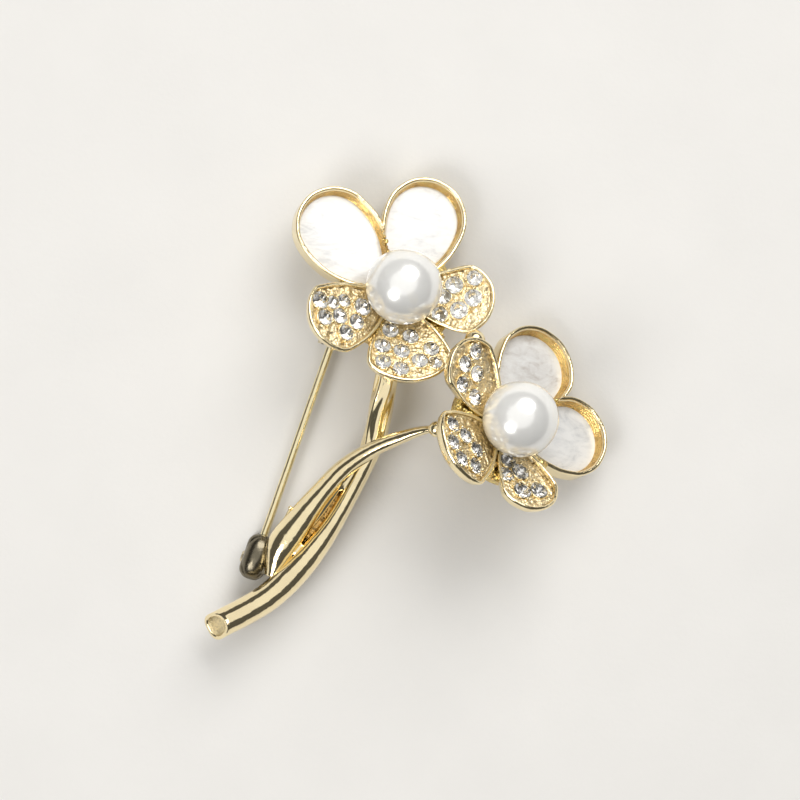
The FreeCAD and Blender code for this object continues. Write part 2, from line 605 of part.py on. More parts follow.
# ---------------------------------------------------------------- the whole brooch
def build():
    upper, upper_bodies = build_flower(UPPER_FLOWER, UPPER_PETALS, "upper", [])
    lower, lower_bodies = build_flower(LOWER_FLOWER, LOWER_PETALS, "lower", upper_bodies)
    parts = {}
    parts.update(upper)
    parts.update(lower)
    flower_bodies = upper_bodies + lower_bodies + [upper["upper_flower_hub"], lower["lower_flower_hub"]]

    seat = lug_seat()
    main = main_stem()
    for other in upper_bodies + [upper["upper_flower_hub"], seat]:
        main = main.cut(other)
    parts["main_stem"] = largest_solid(main)
    side = stem_solid(SIDE_STEM, 0.18).cut(parts["main_stem"])
    for other in lower_bodies + [seat]:
        side = side.cut(other)
    parts["side_stem"] = largest_solid(side)

    plate = oblong(-10.9, -14.5, -6.1, -8.0, 2.6, STEM_BACK + 0.15, STEM_BACK + 0.7)
    plate = plate.cut(parts["main_stem"]).cut(parts["side_stem"]).cut(seat)
    parts["stem_back_plate"] = largest_solid(plate)

    tip = SIDE_STEM[-1]
    foot = vec(tip[0] - 0.2, tip[1] - 0.1, tip[2] + 0.2)
    boss = Part.makeCylinder(0.62, 4.0, foot, vec(0.62, -0.05, 0.78))
    boss = boss.fuse(Part.makeSphere(0.85, foot + vec(0.4, 0.0, 0.5)))
    for other in lower_bodies + [parts["side_stem"], lower["lower_flower_hub"]]:
        boss = boss.cut(other)
    parts["stem_boss"] = largest_solid(boss)

    middle = vec(*UPPER_FLOWER["apex"]) + vec(8.6, -4.4, 3.5)
    bead = Part.makeSphere(1.1, middle)
    bead = bead.fuse(Part.makeSphere(0.8, middle + vec(-0.2, -0.6, 1.1)))
    for other in flower_bodies:
        bead = bead.cut(other)
    parts["flower_bridge"] = largest_solid(bead)

    strap = catch_strap(UPPER_FLOWER)
    for other in upper_bodies + [upper["upper_flower_hub"], parts["main_stem"]]:
        strap = strap.cut(other)
    parts["catch_strap"] = largest_solid(strap)
    parts["catch_housing"] = catch_housing()
    parts["catch_roller"] = catch_roller()
    parts["pin_stem"] = pin_stem()
    parts["hinge_lug"] = hinge_lug()
    parts["hinge_rivet"] = hinge_rivet()
    return parts


def settle(parts):
    """Move everything so the origin is the middle of the bounding box's bottom."""
    box = Part.makeCompound(list(parts.values())).optimalBoundingBox(True, False)
    shift = vec(-(box.XMin + box.XMax) / 2.0, -(box.YMin + box.YMax) / 2.0, -box.ZMin)
    for shape in parts.values():
        shape.translate(shift)


def main():
    os.makedirs("parts", exist_ok=True)
    parts = build()
    settle(parts)
    for name, shape in parts.items():
        shape.exportStep("parts/" + name + ".step")


main()
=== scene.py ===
import bpy
import numpy as np
from mathutils import Matrix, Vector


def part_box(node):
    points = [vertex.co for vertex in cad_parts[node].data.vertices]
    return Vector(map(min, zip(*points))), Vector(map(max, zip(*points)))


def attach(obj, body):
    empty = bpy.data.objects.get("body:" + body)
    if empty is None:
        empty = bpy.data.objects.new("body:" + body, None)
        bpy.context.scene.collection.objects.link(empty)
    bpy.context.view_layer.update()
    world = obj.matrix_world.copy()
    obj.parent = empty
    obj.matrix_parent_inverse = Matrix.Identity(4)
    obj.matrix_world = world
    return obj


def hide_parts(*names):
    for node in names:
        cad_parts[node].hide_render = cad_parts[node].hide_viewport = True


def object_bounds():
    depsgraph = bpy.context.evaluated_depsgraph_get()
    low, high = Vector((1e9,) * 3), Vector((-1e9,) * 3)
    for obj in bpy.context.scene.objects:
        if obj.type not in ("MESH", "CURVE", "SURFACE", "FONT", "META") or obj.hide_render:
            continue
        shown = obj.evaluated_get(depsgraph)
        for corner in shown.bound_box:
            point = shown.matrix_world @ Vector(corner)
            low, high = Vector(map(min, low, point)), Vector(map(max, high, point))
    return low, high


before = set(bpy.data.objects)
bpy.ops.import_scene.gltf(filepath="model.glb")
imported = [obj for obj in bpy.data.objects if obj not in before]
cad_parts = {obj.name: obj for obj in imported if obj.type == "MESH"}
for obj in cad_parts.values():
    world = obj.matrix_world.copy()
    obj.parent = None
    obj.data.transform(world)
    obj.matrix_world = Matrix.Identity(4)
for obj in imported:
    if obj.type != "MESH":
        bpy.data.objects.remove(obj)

bl_info = {
    "name": "Two-flower pearl brooch",
    "version": (1, 0, 0),
    "blender": (4, 5, 0),
    "location": "View3D > Sidebar > Brooch",
    "description": "Builds the petals, stones, pearls, stems and pin back of a spray brooch",
    "category": "Add Mesh",
}

MM = 0.001
CAD_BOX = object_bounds()

# ---- construction data, millimetres
UPPER = {"apex": (-1.3, 11.7, 5.0), "tilt": 19.0, "toward": 45.0}
LOWER = {"apex": (9.3, -2.5, 7.6), "tilt": 37.0, "toward": 30.0}
PETALS = {
    "upper_shell_cup_left": (UPPER, 132.5, 14.1, 9.0),
    "upper_shell_cup_right": (UPPER, 68.5, 13.6, 9.0),
    "upper_pave_cup_right": (UPPER, -6.0, 11.0, 7.6),
    "upper_pave_cup_bottom": (UPPER, -84.0, 11.1, 9.4),
    "upper_pave_cup_left": (UPPER, -155.5, 11.9, 7.8),
    "lower_shell_cup_top": (LOWER, 56.0, 13.3, 9.3),
    "lower_shell_cup_right": (LOWER, -1.0, 12.9, 8.9),
    "lower_pave_cup_bottom": (LOWER, -79.0, 10.7, 7.0),
    "lower_pave_cup_left": (LOWER, -154.0, 11.0, 8.6),
    "lower_pave_cup_top": (LOWER, 128.5, 11.2, 7.4),
}
BLUSH_BLADE = "lower_shell_cup_top"     # the cup whose shell is pinker than the others
LARGE, MEDIUM, SMALL = 1.9, 1.7, 1.44
STONES = {
    "upper_pave_cup_right": [
        (6.5, 1.5, LARGE), (8.6, 2.4, MEDIUM), (8.6, 0.2, LARGE), (7.2, -1.2, LARGE),
        (5.2, -1.8, MEDIUM), (5.4, 0.2, MEDIUM)],
    "upper_pave_cup_bottom": [
        (4.6, -1.4, MEDIUM), (5.5, 0.6, MEDIUM), (6.4, -2.6, MEDIUM), (7.2, -0.7, MEDIUM),
        (7.2, 2.5, MEDIUM), (8.3, -2.9, MEDIUM), (9.3, -1.2, MEDIUM), (8.5, 1.0, MEDIUM),
        (8.9, 2.6, SMALL)],
    "upper_pave_cup_left": [
        (9.4, -2.3, LARGE), (8.1, -1.6, SMALL), (6.7, -1.4, SMALL), (4.9, -0.1, LARGE),
        (9.8, -0.4, MEDIUM), (8.0, 0.0, MEDIUM), (6.4, 1.2, MEDIUM), (8.2, 1.9, MEDIUM)],
    "lower_pave_cup_bottom": [
        (4.2, -0.9, MEDIUM), (5.8, -2.0, MEDIUM), (5.7, -0.1, LARGE), (8.0, -1.0, LARGE),
        (8.2, 1.0, LARGE)],
    "lower_pave_cup_left": [
        (7.7, -2.6, MEDIUM), (6.6, -1.0, MEDIUM), (9.1, -0.9, MEDIUM), (5.9, 0.8, MEDIUM),
        (9.1, 1.0, MEDIUM), (7.5, 2.3, MEDIUM)],
    "lower_pave_cup_top": [
        (9.1, -1.5, MEDIUM), (8.8, 0.5, MEDIUM), (7.1, -0.4, MEDIUM), (7.2, 2.0, MEDIUM),
        (5.2, 1.2, MEDIUM)],
}
PETAL_START = 1.4
SHELL = {"outline": (3.0, 1.3, 9.0, 4.2), "lift": 4.0, "rim": 1.8, "depth": 2.8, "pocket": 2.0}
PAVE = {"outline": (1.4, 1.3, 12.0, 2.9), "lift": 18.0, "rim": 1.6, "depth": 1.6, "pocket": 0.45}
PETAL_HEART = 0.56      # share of a petal's length at which its floor's rows gather
PEARL_HEIGHT = 5.2
PEARL_TRIM = 4.04       # radius to which the cups are cut away round a pearl
STONE_STAND = 0.3
BACK = 3.9
MAIN_STEM = np.array([
    (-22.2, -24.0, BACK, 3.0, 2.8), (-19.8, -22.7, BACK, 3.0, 2.9),
    (-17.2, -21.4, BACK, 3.1, 2.9), (-14.4, -19.7, BACK, 3.1, 2.9),
    (-11.9, -17.4, BACK, 3.1, 2.9), (-9.4, -14.5, BACK, 2.7, 2.7),
    (-7.5, -11.8, BACK, 2.2, 2.4), (-6.0, -9.2, BACK, 2.0, 2.2),
    (-4.5, -6.2, BACK, 2.1, 2.1), (-3.2, -2.8, BACK, 2.5, 2.0),
    (-2.55, 0.1, BACK, 2.6, 2.1), (-2.0, 3.3, BACK, 2.5, 2.2),
    (-1.6, 6.0, BACK, 2.3, 2.1), (-1.35, 8.6, BACK, 2.2, 1.8)])
SIDE_STEM = np.array([
    (-14.1, -17.6, BACK, 1.6, 1.6), (-13.1, -14.7, BACK, 3.3, 2.5),
    (-11.2, -11.9, BACK, 3.1, 2.9), (-8.9, -8.9, BACK, 2.5, 2.9),
    (-6.3, -6.1, BACK + 0.8, 2.1, 2.3), (-3.5, -4.2, BACK + 1.8, 1.7, 1.9),
    (-0.5, -2.9, BACK + 3.1, 1.4, 1.5), (1.6, -2.2, BACK + 4.4, 1.0, 1.2),
    (3.1, -1.9, BACK + 5.5, 0.7, 0.9)])
CUT_POINT = np.array([-19.82, -22.75, BACK + 1.45])
CUT_LEAN = 50.0
ROUND_FOOT = 0.16       # share of the main stem's run over which its foot turns to an ellipse
NECK_START, NECK_FADE = 0.62, 0.12      # where the flutes begin, and how fast
SLOT = {"middle": (-8.6, -11.4), "heading": (7.4, 9.7), "half_run": 3.05, "radius": 0.45, "bow": 0.16}
WEB = {"middle": (-8.3, -10.75), "half_length": 5.9, "half_width": 1.15}
SPUR = np.array([(-13.1, -12.9, BACK + 0.7), (-12.75, -11.6, BACK + 0.8), (-12.1, -10.35, BACK + 0.9)])
PIN_HEADING = 70.6
LUG = {"ahead": 0.45, "half_length": 2.41, "half_width": 1.35, "crown": 0.8, "rise": 1.5, "skirt": 0.6}
LIGHTS = {               # place and size in metres, power in watts, colour
    "high box": ((0.19, 0.41, 0.42), (0.50, 0.44), 2.4, (1.0, 0.985, 0.96)),
    "low box": ((-0.31, -0.25, 0.46), (0.33, 0.33), 1.45, (1.0, 0.985, 0.96)),
    "overhead scrim": ((-0.02, 0.13, 0.69), (1.25, 1.1), 2.8, (1.0, 0.99, 0.97))}
VIEW_POINT = (-0.53, 1.05, 450.0)       # the camera, straight above the worn face
VIEW_DISTANCE, VIEW_WIDTH, FILM_WIDTH = 444.0, 84.2105, 36.0
FLOOR_SIDE, FLOOR_GAP = 6.0, 0.00005    # metres


def unit(v):
    """Vectors scaled to length 1."""
    v = np.asarray(v, float)
    return v / np.linalg.norm(v, axis=-1, keepdims=True)


def turn(axis, degrees):
    """Rodrigues' rotation matrix: cos I + sin K + (1 - cos) a a^T for a unit axis a."""
    a = unit(axis)
    c, s = np.cos(np.radians(degrees)), np.sin(np.radians(degrees))
    k = np.array([[0, -a[2], a[1]], [a[2], 0, -a[0]], [-a[1], a[0], 0]])
    return c * np.eye(3) + s * k + (1 - c) * np.outer(a, a)


def flower_turn(flower):
    """A flower's tilt, as a turn about the level line square to its heading."""
    t = np.radians(flower["toward"])
    return turn((-np.sin(t), np.cos(t), 0), flower["tilt"])


def pearl_middle(flower):
    """Middle of a flower's pearl, on the flower's own axis."""
    return np.array(flower["apex"]) + flower_turn(flower) @ np.array([0, 0, PEARL_HEIGHT])


def settle_shift():
    """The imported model's offset: the middle of a packed pearl less its place in these data."""
    low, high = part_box("upper_pearl")
    return (np.array(low) + np.array(high)) / 2 / MM - pearl_middle(UPPER)


SHIFT = settle_shift()


# ---- meshes
def put_mesh(name, verts, faces, smooth=True, index=None):
    """A mesh object at the origin from points in construction millimetres."""
    mesh = bpy.data.meshes.new(name)
    points = (np.asarray(verts, float) + SHIFT) * MM
    mesh.from_pydata(points.tolist(), [], [list(map(int, f)) for f in faces])
    mesh.polygons.foreach_set("use_smooth", np.full(len(mesh.polygons), smooth))
    if index is not None:
        mesh.polygons.foreach_set("material_index", np.asarray(index, np.int32))
    mesh.update()
    made = bpy.data.objects.new(name, mesh)
    bpy.context.scene.collection.objects.link(made)
    return made


def skin(rows, cap_first=True, cap_last=True):
    """Quads between successive closed rows of one grid, with a point in the middle of each end row.

    rows has shape (n, m, 3); row j joins row j + 1, and column m joins column 0. Also returns each
    face's row number, for materials.
    """
    n, m, _ = rows.shape
    verts = rows.reshape(-1, 3)
    i = np.arange(m)
    k = (i + 1) % m
    faces, owner = [], []
    base = np.arange(n - 1)[:, None] * m
    quads = np.stack([base + i, base + k, base + m + k, base + m + i], -1).reshape(-1, 4)
    faces.extend(quads.tolist())
    owner.append(np.repeat(np.arange(n - 1), m))
    extra = []
    if cap_first:
        extra.append(rows[0].mean(0))
        faces.extend(np.stack([k, i, np.full(m, n * m)], -1).tolist())
        owner.append(np.zeros(m, int))
    if cap_last:
        last = (n - 1) * m
        extra.append(rows[-1].mean(0))
        faces.extend(np.stack([last + i, last + k, np.full(m, n * m + len(extra) - 1)], -1).tolist())
        owner.append(np.full(m, n - 1))
    if extra:
        verts = np.vstack([verts, extra])
    return verts, faces, np.concatenate(owner)


def join(parts):
    """Several (verts, faces) meshes as one."""
    verts, faces, start = [], [], 0
    for v, f in parts:
        verts.append(v)
        faces.extend((np.asarray(f) + start).tolist() if len({len(x) for x in f}) == 1
                     else [[q + start for q in x] for x in f])
        start += len(v)
    return np.vstack(verts), faces


def soften(points, reach, steps=5):
    """A polyline whose inner corners are quadratic curves, each reaching that far along both sides."""
    points = np.asarray(points, float)
    out = [points[0]]
    t = np.linspace(0, 1, steps)[:, None]
    for a, b, c in zip(points[:-2], points[1:-1], points[2:]):
        ra = min(reach, np.linalg.norm(b - a) * 0.49)
        rc = min(reach, np.linalg.norm(c - b) * 0.49)
        p, q = b + unit(a - b) * ra, b + unit(c - b) * rc
        out.extend((1 - t) ** 2 * p + 2 * t * (1 - t) * b + t ** 2 * q)
    out.append(points[-1])
    return np.array(out)


# ---- petals
def is_shell(name):
    return "shell" in name


def petal_outline(kind, length, width, count):
    """Six tangent arcs (tip, corners, sides, root) sampled evenly by length.

    Returns each sample's arc centre, arc radius and outward direction, so a point at inset d is
    centre + (radius - d) * direction.
    """
    corner, root, belly, back = kind["outline"]
    cx, cy = length - back, width / 2 - corner
    tip_x = ((length - corner) ** 2 - cx ** 2 - cy ** 2) / (2 * ((length - corner) - cx))
    root_x = PETAL_START + root
    dx = cx - root_x
    dist = np.hypot(dx, cy)
    r1, r2 = belly - root, belly - corner
    along = (r1 ** 2 - r2 ** 2 + dist ** 2) / (2 * dist)
    off = np.sqrt(r1 ** 2 - along ** 2)
    sx = root_x + dx / dist * along + cy / dist * off
    sy = cy / dist * along - dx / dist * off
    a_tip = np.arctan2(cy, cx - tip_x)
    a_side = np.arctan2(cy - sy, cx - sx)
    a_root = np.arctan2(-sy, root_x - sx)
    arcs = np.array([
        (tip_x, 0, length - tip_x, -a_tip, a_tip), (cx, cy, corner, a_tip, a_side),
        (sx, sy, belly, a_side, a_root), (root_x, 0, root, a_root, 2 * np.pi - a_root),
        (sx, -sy, belly, -a_root, -a_side), (cx, -cy, corner, -a_side, -a_tip)])
    lengths = arcs[:, 2] * (arcs[:, 4] - arcs[:, 3])
    ends = np.concatenate([[0], np.cumsum(lengths)])
    s = np.linspace(0, ends[-1], count, endpoint=False)
    which = np.clip(np.searchsorted(ends, s, side="right") - 1, 0, 5)
    arc = arcs[which]
    angle = arc[:, 3] + (s - ends[which]) / arc[:, 2]
    return arc[:, :2], arc[:, 2], np.stack([np.cos(angle), np.sin(angle)], 1)


def seam_bearings(name):
    """Bearings halfway to the neighbouring petals of the same flower."""
    flower, own = PETALS[name][:2]
    others = sorted(p[1] for n, p in PETALS.items() if p[0] is flower)
    i = others.index(own)
    around = [others[-1] - 360, *others, others[0] + 360]
    return (own + around[i]) / 2, (own + around[i + 2]) / 2


def petal_turn(name):
    """Turn of one petal within its flower: tip lifted, then round to its bearing."""
    kind = SHELL if is_shell(name) else PAVE
    return turn((0, 0, 1), PETALS[name][1]) @ turn((0, 1, 0), -kind["lift"])


def petal_heart(name):
    """The point on a petal's middle line toward which its floor gathers."""
    return np.array([PETAL_START + (PETALS[name][2] - PETAL_START) * PETAL_HEART, 0.0])


def to_place(name, points, share=True):
    """Petal coordinates to the brooch's: lifted, turned to its bearing, tilted with its flower.

    With share, points past a seam plane move back to it, and points inside the pearl move out to
    its surface, as the cups are trimmed there.
    """
    flower = PETALS[name][0]
    p = points @ petal_turn(name).T
    if share:
        low, high = np.radians(seam_bearings(name))
        n0 = np.array([-np.sin(low), np.cos(low), 0])
        n1 = np.array([np.sin(high), -np.cos(high), 0])
        for n in (n0, n1):
            p = p + np.maximum(0, 0.01 - p @ n)[..., None] * n
        c = np.array([0, 0, PEARL_HEIGHT])
        d = p - c
        r = np.linalg.norm(d, axis=-1, keepdims=True)
        p = np.where(r < PEARL_TRIM, c + d / r * PEARL_TRIM, p)
    return p @ flower_turn(flower).T + np.array(flower["apex"])


def petal_rows(name, profile, count, wobble=0.0, seed=0):
    """Surface of u (round the outline) and v (down the profile).

    The profile's entries are (inset, height, gather): the outline at that inset, drawn toward the
    petal's heart by the share gather. Wobble adds slow sine waves of that size, always inward and
    down, to the rows that aren't gathered.
    """
    kind = SHELL if is_shell(name) else PAVE
    _, _, length, width = PETALS[name]
    centre, radius, out = petal_outline(kind, length, width, count)
    profile = np.asarray(profile, float)
    u = np.linspace(0, 2 * np.pi, count, endpoint=False)
    rng = np.random.default_rng(seed)
    ph = rng.uniform(0, 2 * np.pi, 6)
    wave = np.sin(3 * u + ph[0]) + 0.7 * np.sin(7 * u + ph[1]) + 0.5 * np.sin(13 * u + ph[2])
    lift = np.sin(4 * u + ph[3]) + 0.7 * np.sin(9 * u + ph[4])
    free = profile[:, 2, None] < 0.01
    inset = profile[:, 0, None] + wobble * (wave + 2.2) * free
    flat = centre + (radius - inset)[..., None] * out
    flat = flat + (petal_heart(name) - flat) * profile[:, 2, None, None]
    z = profile[:, 1, None] + wobble * 0.6 * (lift - 1.7) * free
    return np.concatenate([flat, z[..., None]], -1)


def gathered(inset, z, start, stop, steps):
    """Profile entries at one inset and height, gathered more and more or less and less."""
    g = np.linspace(start, stop, steps)
    return np.stack([np.full(steps, inset), np.full(steps, z), g], 1)


def wall_line(line, reach):
    """Profile entries along a softened line of (inset, height), none of them gathered."""
    soft = soften(line, reach)
    return np.column_stack([soft, np.zeros(len(soft))])


def shell_cup_profile(sizes):
    """Foot, outer wall, lip, inner wall and pocket floor, and the entry where the inside starts."""
    rim, foot = SHELL["rim"], SHELL["rim"] - SHELL["depth"]
    lip = sizes.lip_width / MM
    floor = rim - SHELL["pocket"]
    outside = wall_line([(1.0, foot), (0.6, foot), (0.1, foot + 0.65), (0.0, rim - 0.34),
                         (0.0, rim - 0.2), (0.1, rim), (lip - 0.1, rim), (lip, rim - 0.14),
                         (lip + 0.04, rim - 0.3)], 0.13)
    inside = wall_line([(lip + 0.06, rim - 0.4), (0.68, rim - 1.2), (0.9, floor)], 0.1)
    rows = [gathered(1.0, foot, 0.98, 0.04, 6), outside, inside, gathered(0.9, floor, 0.04, 0.98, 5)]
    split = len(rows[0]) + len(outside) - 1
    return np.vstack(rows), split


def pave_cup_profile(sizes):
    """As for a shell cup, with a low wall and a bed of many rows; also the entry where that starts."""
    rim, foot = PAVE["rim"], PAVE["rim"] - PAVE["depth"]
    lip = sizes.lip_width / MM - 0.03
    bed = rim - PAVE["pocket"]
    outside = wall_line([(1.1, foot), (0.8, foot), (0.3, foot + 0.5), (0.02, rim - 0.4),
                         (0.0, rim - 0.2), (0.09, rim), (lip - 0.1, rim), (lip, rim - 0.12)], 0.12)
    inside = wall_line([(lip + 0.03, rim - 0.2), (0.55, bed)], 0.05)
    rows = [gathered(1.1, foot, 0.98, 0.04, 6), outside, inside, gathered(0.55, bed, 0.01, 0.98, 64)]
    split = len(rows[0]) + len(outside) - 1
    return np.vstack(rows), split, split + len(inside)


# ---- materials
class Finish:
    """A new material with constants on its shader, and short ways to add nodes to it."""

    def __init__(self, name, **values):
        self.material = bpy.data.materials.new(name)
        self.material.use_nodes = True
        self.tree = self.material.node_tree
        self.shader = self.tree.nodes["Principled BSDF"]
        self.plain = None
        for key, value in values.items():
            self.shader.inputs[key.replace("_", " ")].default_value = value

    def node(self, kind, **values):
        """A node with its inputs, or else its own settings, at these values."""
        made = self.tree.nodes.new(kind)
        for key, value in values.items():
            if key in made.inputs:
                made.inputs[key].default_value = value
            else:
                setattr(made, key, value)
        return made

    def link(self, source, target):
        self.tree.links.new(source, target)

    def colour(self, factor, *stops):
        """A ramp on the shader's base colour."""
        self.link(self.ramp(factor, *stops), self.shader.inputs["Base Color"])

    def roughness(self, factor, low, high):
        """Roughness that goes with a factor from low to high."""
        self.link(self.levels(factor, low, high), self.shader.inputs["Roughness"])

    def place(self, scale=(1, 1, 1), rotation=(0, 0, 0)):
        """Object coordinates in millimetres, stretched and turned."""
        where = self.node("ShaderNodeTexCoord")
        mapping = self.node("ShaderNodeMapping", Scale=tuple(s / MM for s in scale), Rotation=rotation)
        self.link(where.outputs["Object"], mapping.inputs["Vector"])
        return mapping.outputs["Vector"]

    def at(self):
        """Object coordinates in millimetres, neither stretched nor turned."""
        if self.plain is None:
            self.plain = self.place()
        return self.plain

    def noise(self, scale, detail=4.0, rough=0.55, distortion=0.0, vector=None):
        """Fractal noise, scale lumps to the millimetre."""
        n = self.node("ShaderNodeTexNoise", Scale=scale, Detail=detail, Roughness=rough,
                      Distortion=distortion)
        self.link(self.at() if vector is None else vector, n.inputs["Vector"])
        return n.outputs["Fac"]

    def cells(self, scale):
        """Distance to the middle of the nearest grain, scale grains to the millimetre."""
        n = self.node("ShaderNodeTexVoronoi", Scale=scale)
        self.link(self.at(), n.inputs["Vector"])
        return n.outputs["Distance"]

    def ramp(self, factor, *stops):
        """Colours at stops of (position, colour)."""
        r = self.node("ShaderNodeValToRGB")
        bar = r.color_ramp
        while len(bar.elements) < len(stops):
            bar.elements.new(0.5)
        for element, (place, colour) in zip(bar.elements, stops):
            element.position = place
            element.color = (*colour, 1)
        self.link(factor, r.inputs["Fac"])
        return r.outputs["Color"]

    def levels(self, factor, low, high):
        """A factor from 0 to 1 spread between two values."""
        n = self.node("ShaderNodeMapRange", **{"To Min": low, "To Max": high})
        self.link(factor, n.inputs["Value"])
        return n.outputs["Result"]

    def math(self, operation, a, b):
        """One sum of two outputs or numbers."""
        n = self.node("ShaderNodeMath", operation=operation)
        for i, v in enumerate((a, b)):
            if isinstance(v, (int, float)):
                n.inputs[i].default_value = v
            else:
                self.link(v, n.inputs[i])
        return n.outputs["Value"]

    def mix(self, *terms):
        """Sum of outputs, each times its own number."""
        scaled = [self.math("MULTIPLY", output, share) for output, share in terms]
        return self.math("ADD", *scaled)

    def bump(self, height, depth_mm):
        """Relief of that depth in millimetres, on the shader's normal."""
        n = self.node("ShaderNodeBump", Strength=1.0, Distance=depth_mm * MM)
        self.link(height, n.inputs["Height"])
        self.link(n.outputs["Normal"], self.shader.inputs["Normal"])


MADE = {}


def finish(maker, *kind):
    """The material that maker gives for the chosen colours, made once for all the pieces."""
    if (maker, kind) not in MADE:
        MADE[maker, kind] = maker(colours(), *kind)
    return MADE[maker, kind]


def shade(colour, amount):
    """A colour made that much lighter or darker."""
    return tuple(min(1.0, c * amount) for c in colour[:3])


def polished_gold(colours):
    """Pale plated gold: mirror polish with slow cast waves and fine wiping marks."""
    f = Finish("polished pale gold", Metallic=1.0)
    c = colours.gold
    tone = f.noise(0.35, 3)
    f.colour(tone, (0.3, shade(c, 0.93)), (0.7, shade(c, 1.05)))
    f.roughness(f.noise(1.4, 5), 0.07, 0.17)
    f.bump(f.mix((f.noise(0.55, 2), 1.0), (f.noise(6.0, 3), 0.05)), 0.09)
    return f.material


def cup_gold(colours):
    """Outer walls and lips: polished, with small casting pits."""
    f = Finish("cast cup gold", Metallic=1.0)
    c = colours.gold
    tone = f.noise(0.8, 4)
    f.colour(tone, (0.3, shade(c, 0.94)), (0.7, shade(c, 1.06)))
    f.roughness(f.noise(2.2, 5), 0.05, 0.16)
    f.bump(f.mix((f.noise(1.3, 3), 1.0), (f.noise(5.0, 4, 0.7), 0.25)), 0.06)
    return f.material


def amber_wall(colours):
    """Inner walls of the shell cups: warmer, satin, with faint rings left by the mould, and streaks
    with painted reflection where they rise and painted shade in their dips.
    """
    f = Finish("amber inner wall with painted streaks", Metallic=1.0)
    c = colours.inner_gold
    streak = f.noise(1.1, 4, 0.6, 0.6)
    # painted light: the streak also drives the bump, so raised streaks are lighter (painted reflection)
    # and dips darker (painted shade)
    f.colour(streak, (0.3, shade(c, 0.6)), (0.5, c[:3]), (0.7, shade(c, 1.2)))
    f.roughness(f.noise(3.0, 4), 0.1, 0.24)
    rings = f.node("ShaderNodeTexWave", Scale=1.6, Distortion=2.0, Detail=2.0)
    rings.bands_direction = "Z"
    f.link(f.at(), rings.inputs["Vector"])
    f.bump(f.math("ADD", f.math("MULTIPLY", rings.outputs["Fac"], 0.5), streak), 0.09)
    return f.material


def grainy_gold(colours):
    """Bed between the stones: frosted, granular casting, lighter on the grain crowns as painted
    highlight and darker in the hollows as painted shade.
    """
    f = Finish("granular bed gold with painted shade", Metallic=1.0)
    c = colours.bed_gold
    grain = f.cells(3.6)
    fine = f.noise(7.0, 3, 0.7)
    # painted light: lighter at the grain middles, darker at their edges where the bump is lowest
    f.colour(f.mix((grain, 0.9), (fine, 0.35)),
             (0.2, shade(c, 1.1)), (0.6, c[:3]), (0.95, shade(c, 0.62)))
    f.roughness(fine, 0.2, 0.38)
    f.bump(f.math("SUBTRACT", f.math("MULTIPLY", fine, 0.4), grain), 0.09)
    return f.material


def pitted_gold(colours):
    """Recess of the cut stem end: pale plating over fine pits, darker in the pits as painted shade."""
    f = Finish("pitted pale gold with painted shade", Metallic=1.0)
    c = colours.gold
    pits = f.noise(5.0, 5, 0.75)
    # painted shade: the same noise as the bump, darker where the pits sink
    f.colour(pits, (0.35, shade(c, 0.7)), (0.6, shade(c, 1.05)))
    f.roughness(pits, 0.25, 0.42)
    f.bump(pits, 0.12)
    return f.material


def seam_gold(colours):
    """Solder seams and the hubs: granules over a rough ground, lighter on their crowns as painted
    highlight and darker between them as painted shade.
    """
    f = Finish("seam granule gold with painted light", Metallic=1.0)
    c = colours.inner_gold
    grain = f.cells(2.4)
    # painted light: the granule crowns are lighter and the ground between them darker, following the
    # bump
    f.colour(grain, (0.1, shade(c, 1.2)), (0.7, shade(c, 0.62)))
    f.roughness(f.noise(4.0, 4), 0.16, 0.36)
    f.bump(f.mix((grain, -1.0), (f.noise(5.0, 4), 0.4)), 0.11)
    return f.material


def fitting_gold(colours, dark):
    """Back fittings: thinner plating, tumbled to a soft satin; the hinge lug's is darkened as painted
    shade.
    """
    f = Finish("lug gold darkened as painted shade" if dark else "satin fitting gold", Metallic=1.0)
    # with dark set, the hinge lug's gold is made dark as painted shade for the shadow and dark
    # reflections on it
    c = colours.lug if dark else colours.fitting
    tone = f.noise(0.9, 5, 0.6)
    f.colour(tone, (0.3, shade(c, 0.8)), (0.7, shade(c, 1.06)))
    f.roughness(f.noise(2.0, 5), 0.18, 0.36)
    f.bump(f.noise(1.4, 3, 0.5), 0.05)
    return f.material


def dark_casting(colours):
    """Unpolished casting in the slot: its gold darkened to brown as painted shade for the inside of the
    slot, darkest in the hollows, lighter on the grains.
    """
    f = Finish("slot casting darkened as painted shade", Metallic=0.9)
    c = colours.inner_gold
    grain = f.cells(3.0)
    lump = f.noise(2.2, 5, 0.7)
    both = f.mix((grain, 0.5), (lump, 0.6))
    # painted shade: the whole ramp is dark, darkest where the bump is lowest
    f.colour(both, (0.3, shade(c, 0.1)), (0.48, shade(c, 0.3)), (0.7, shade(c, 0.8)))
    f.roughness(lump, 0.3, 0.6)
    f.bump(both, 0.3)
    return f.material


def drawn_wire(colours):
    """Pin wire: drawn and polished, with faint lines along its length."""
    f = Finish("drawn pin wire", Metallic=1.0)
    stretched = f.node("ShaderNodeMapping", Scale=(0.15, 4.0, 4.0))
    f.link(f.place(rotation=(0, 0, -np.radians(PIN_HEADING))), stretched.inputs["Vector"])
    lines = f.noise(2.0, 3, vector=stretched.outputs["Vector"])
    c = colours.gold
    f.colour(lines, (0.3, shade(c, 0.92)), (0.7, shade(c, 1.1)))
    f.roughness(lines, 0.1, 0.22)
    f.bump(lines, 0.02)
    return f.material


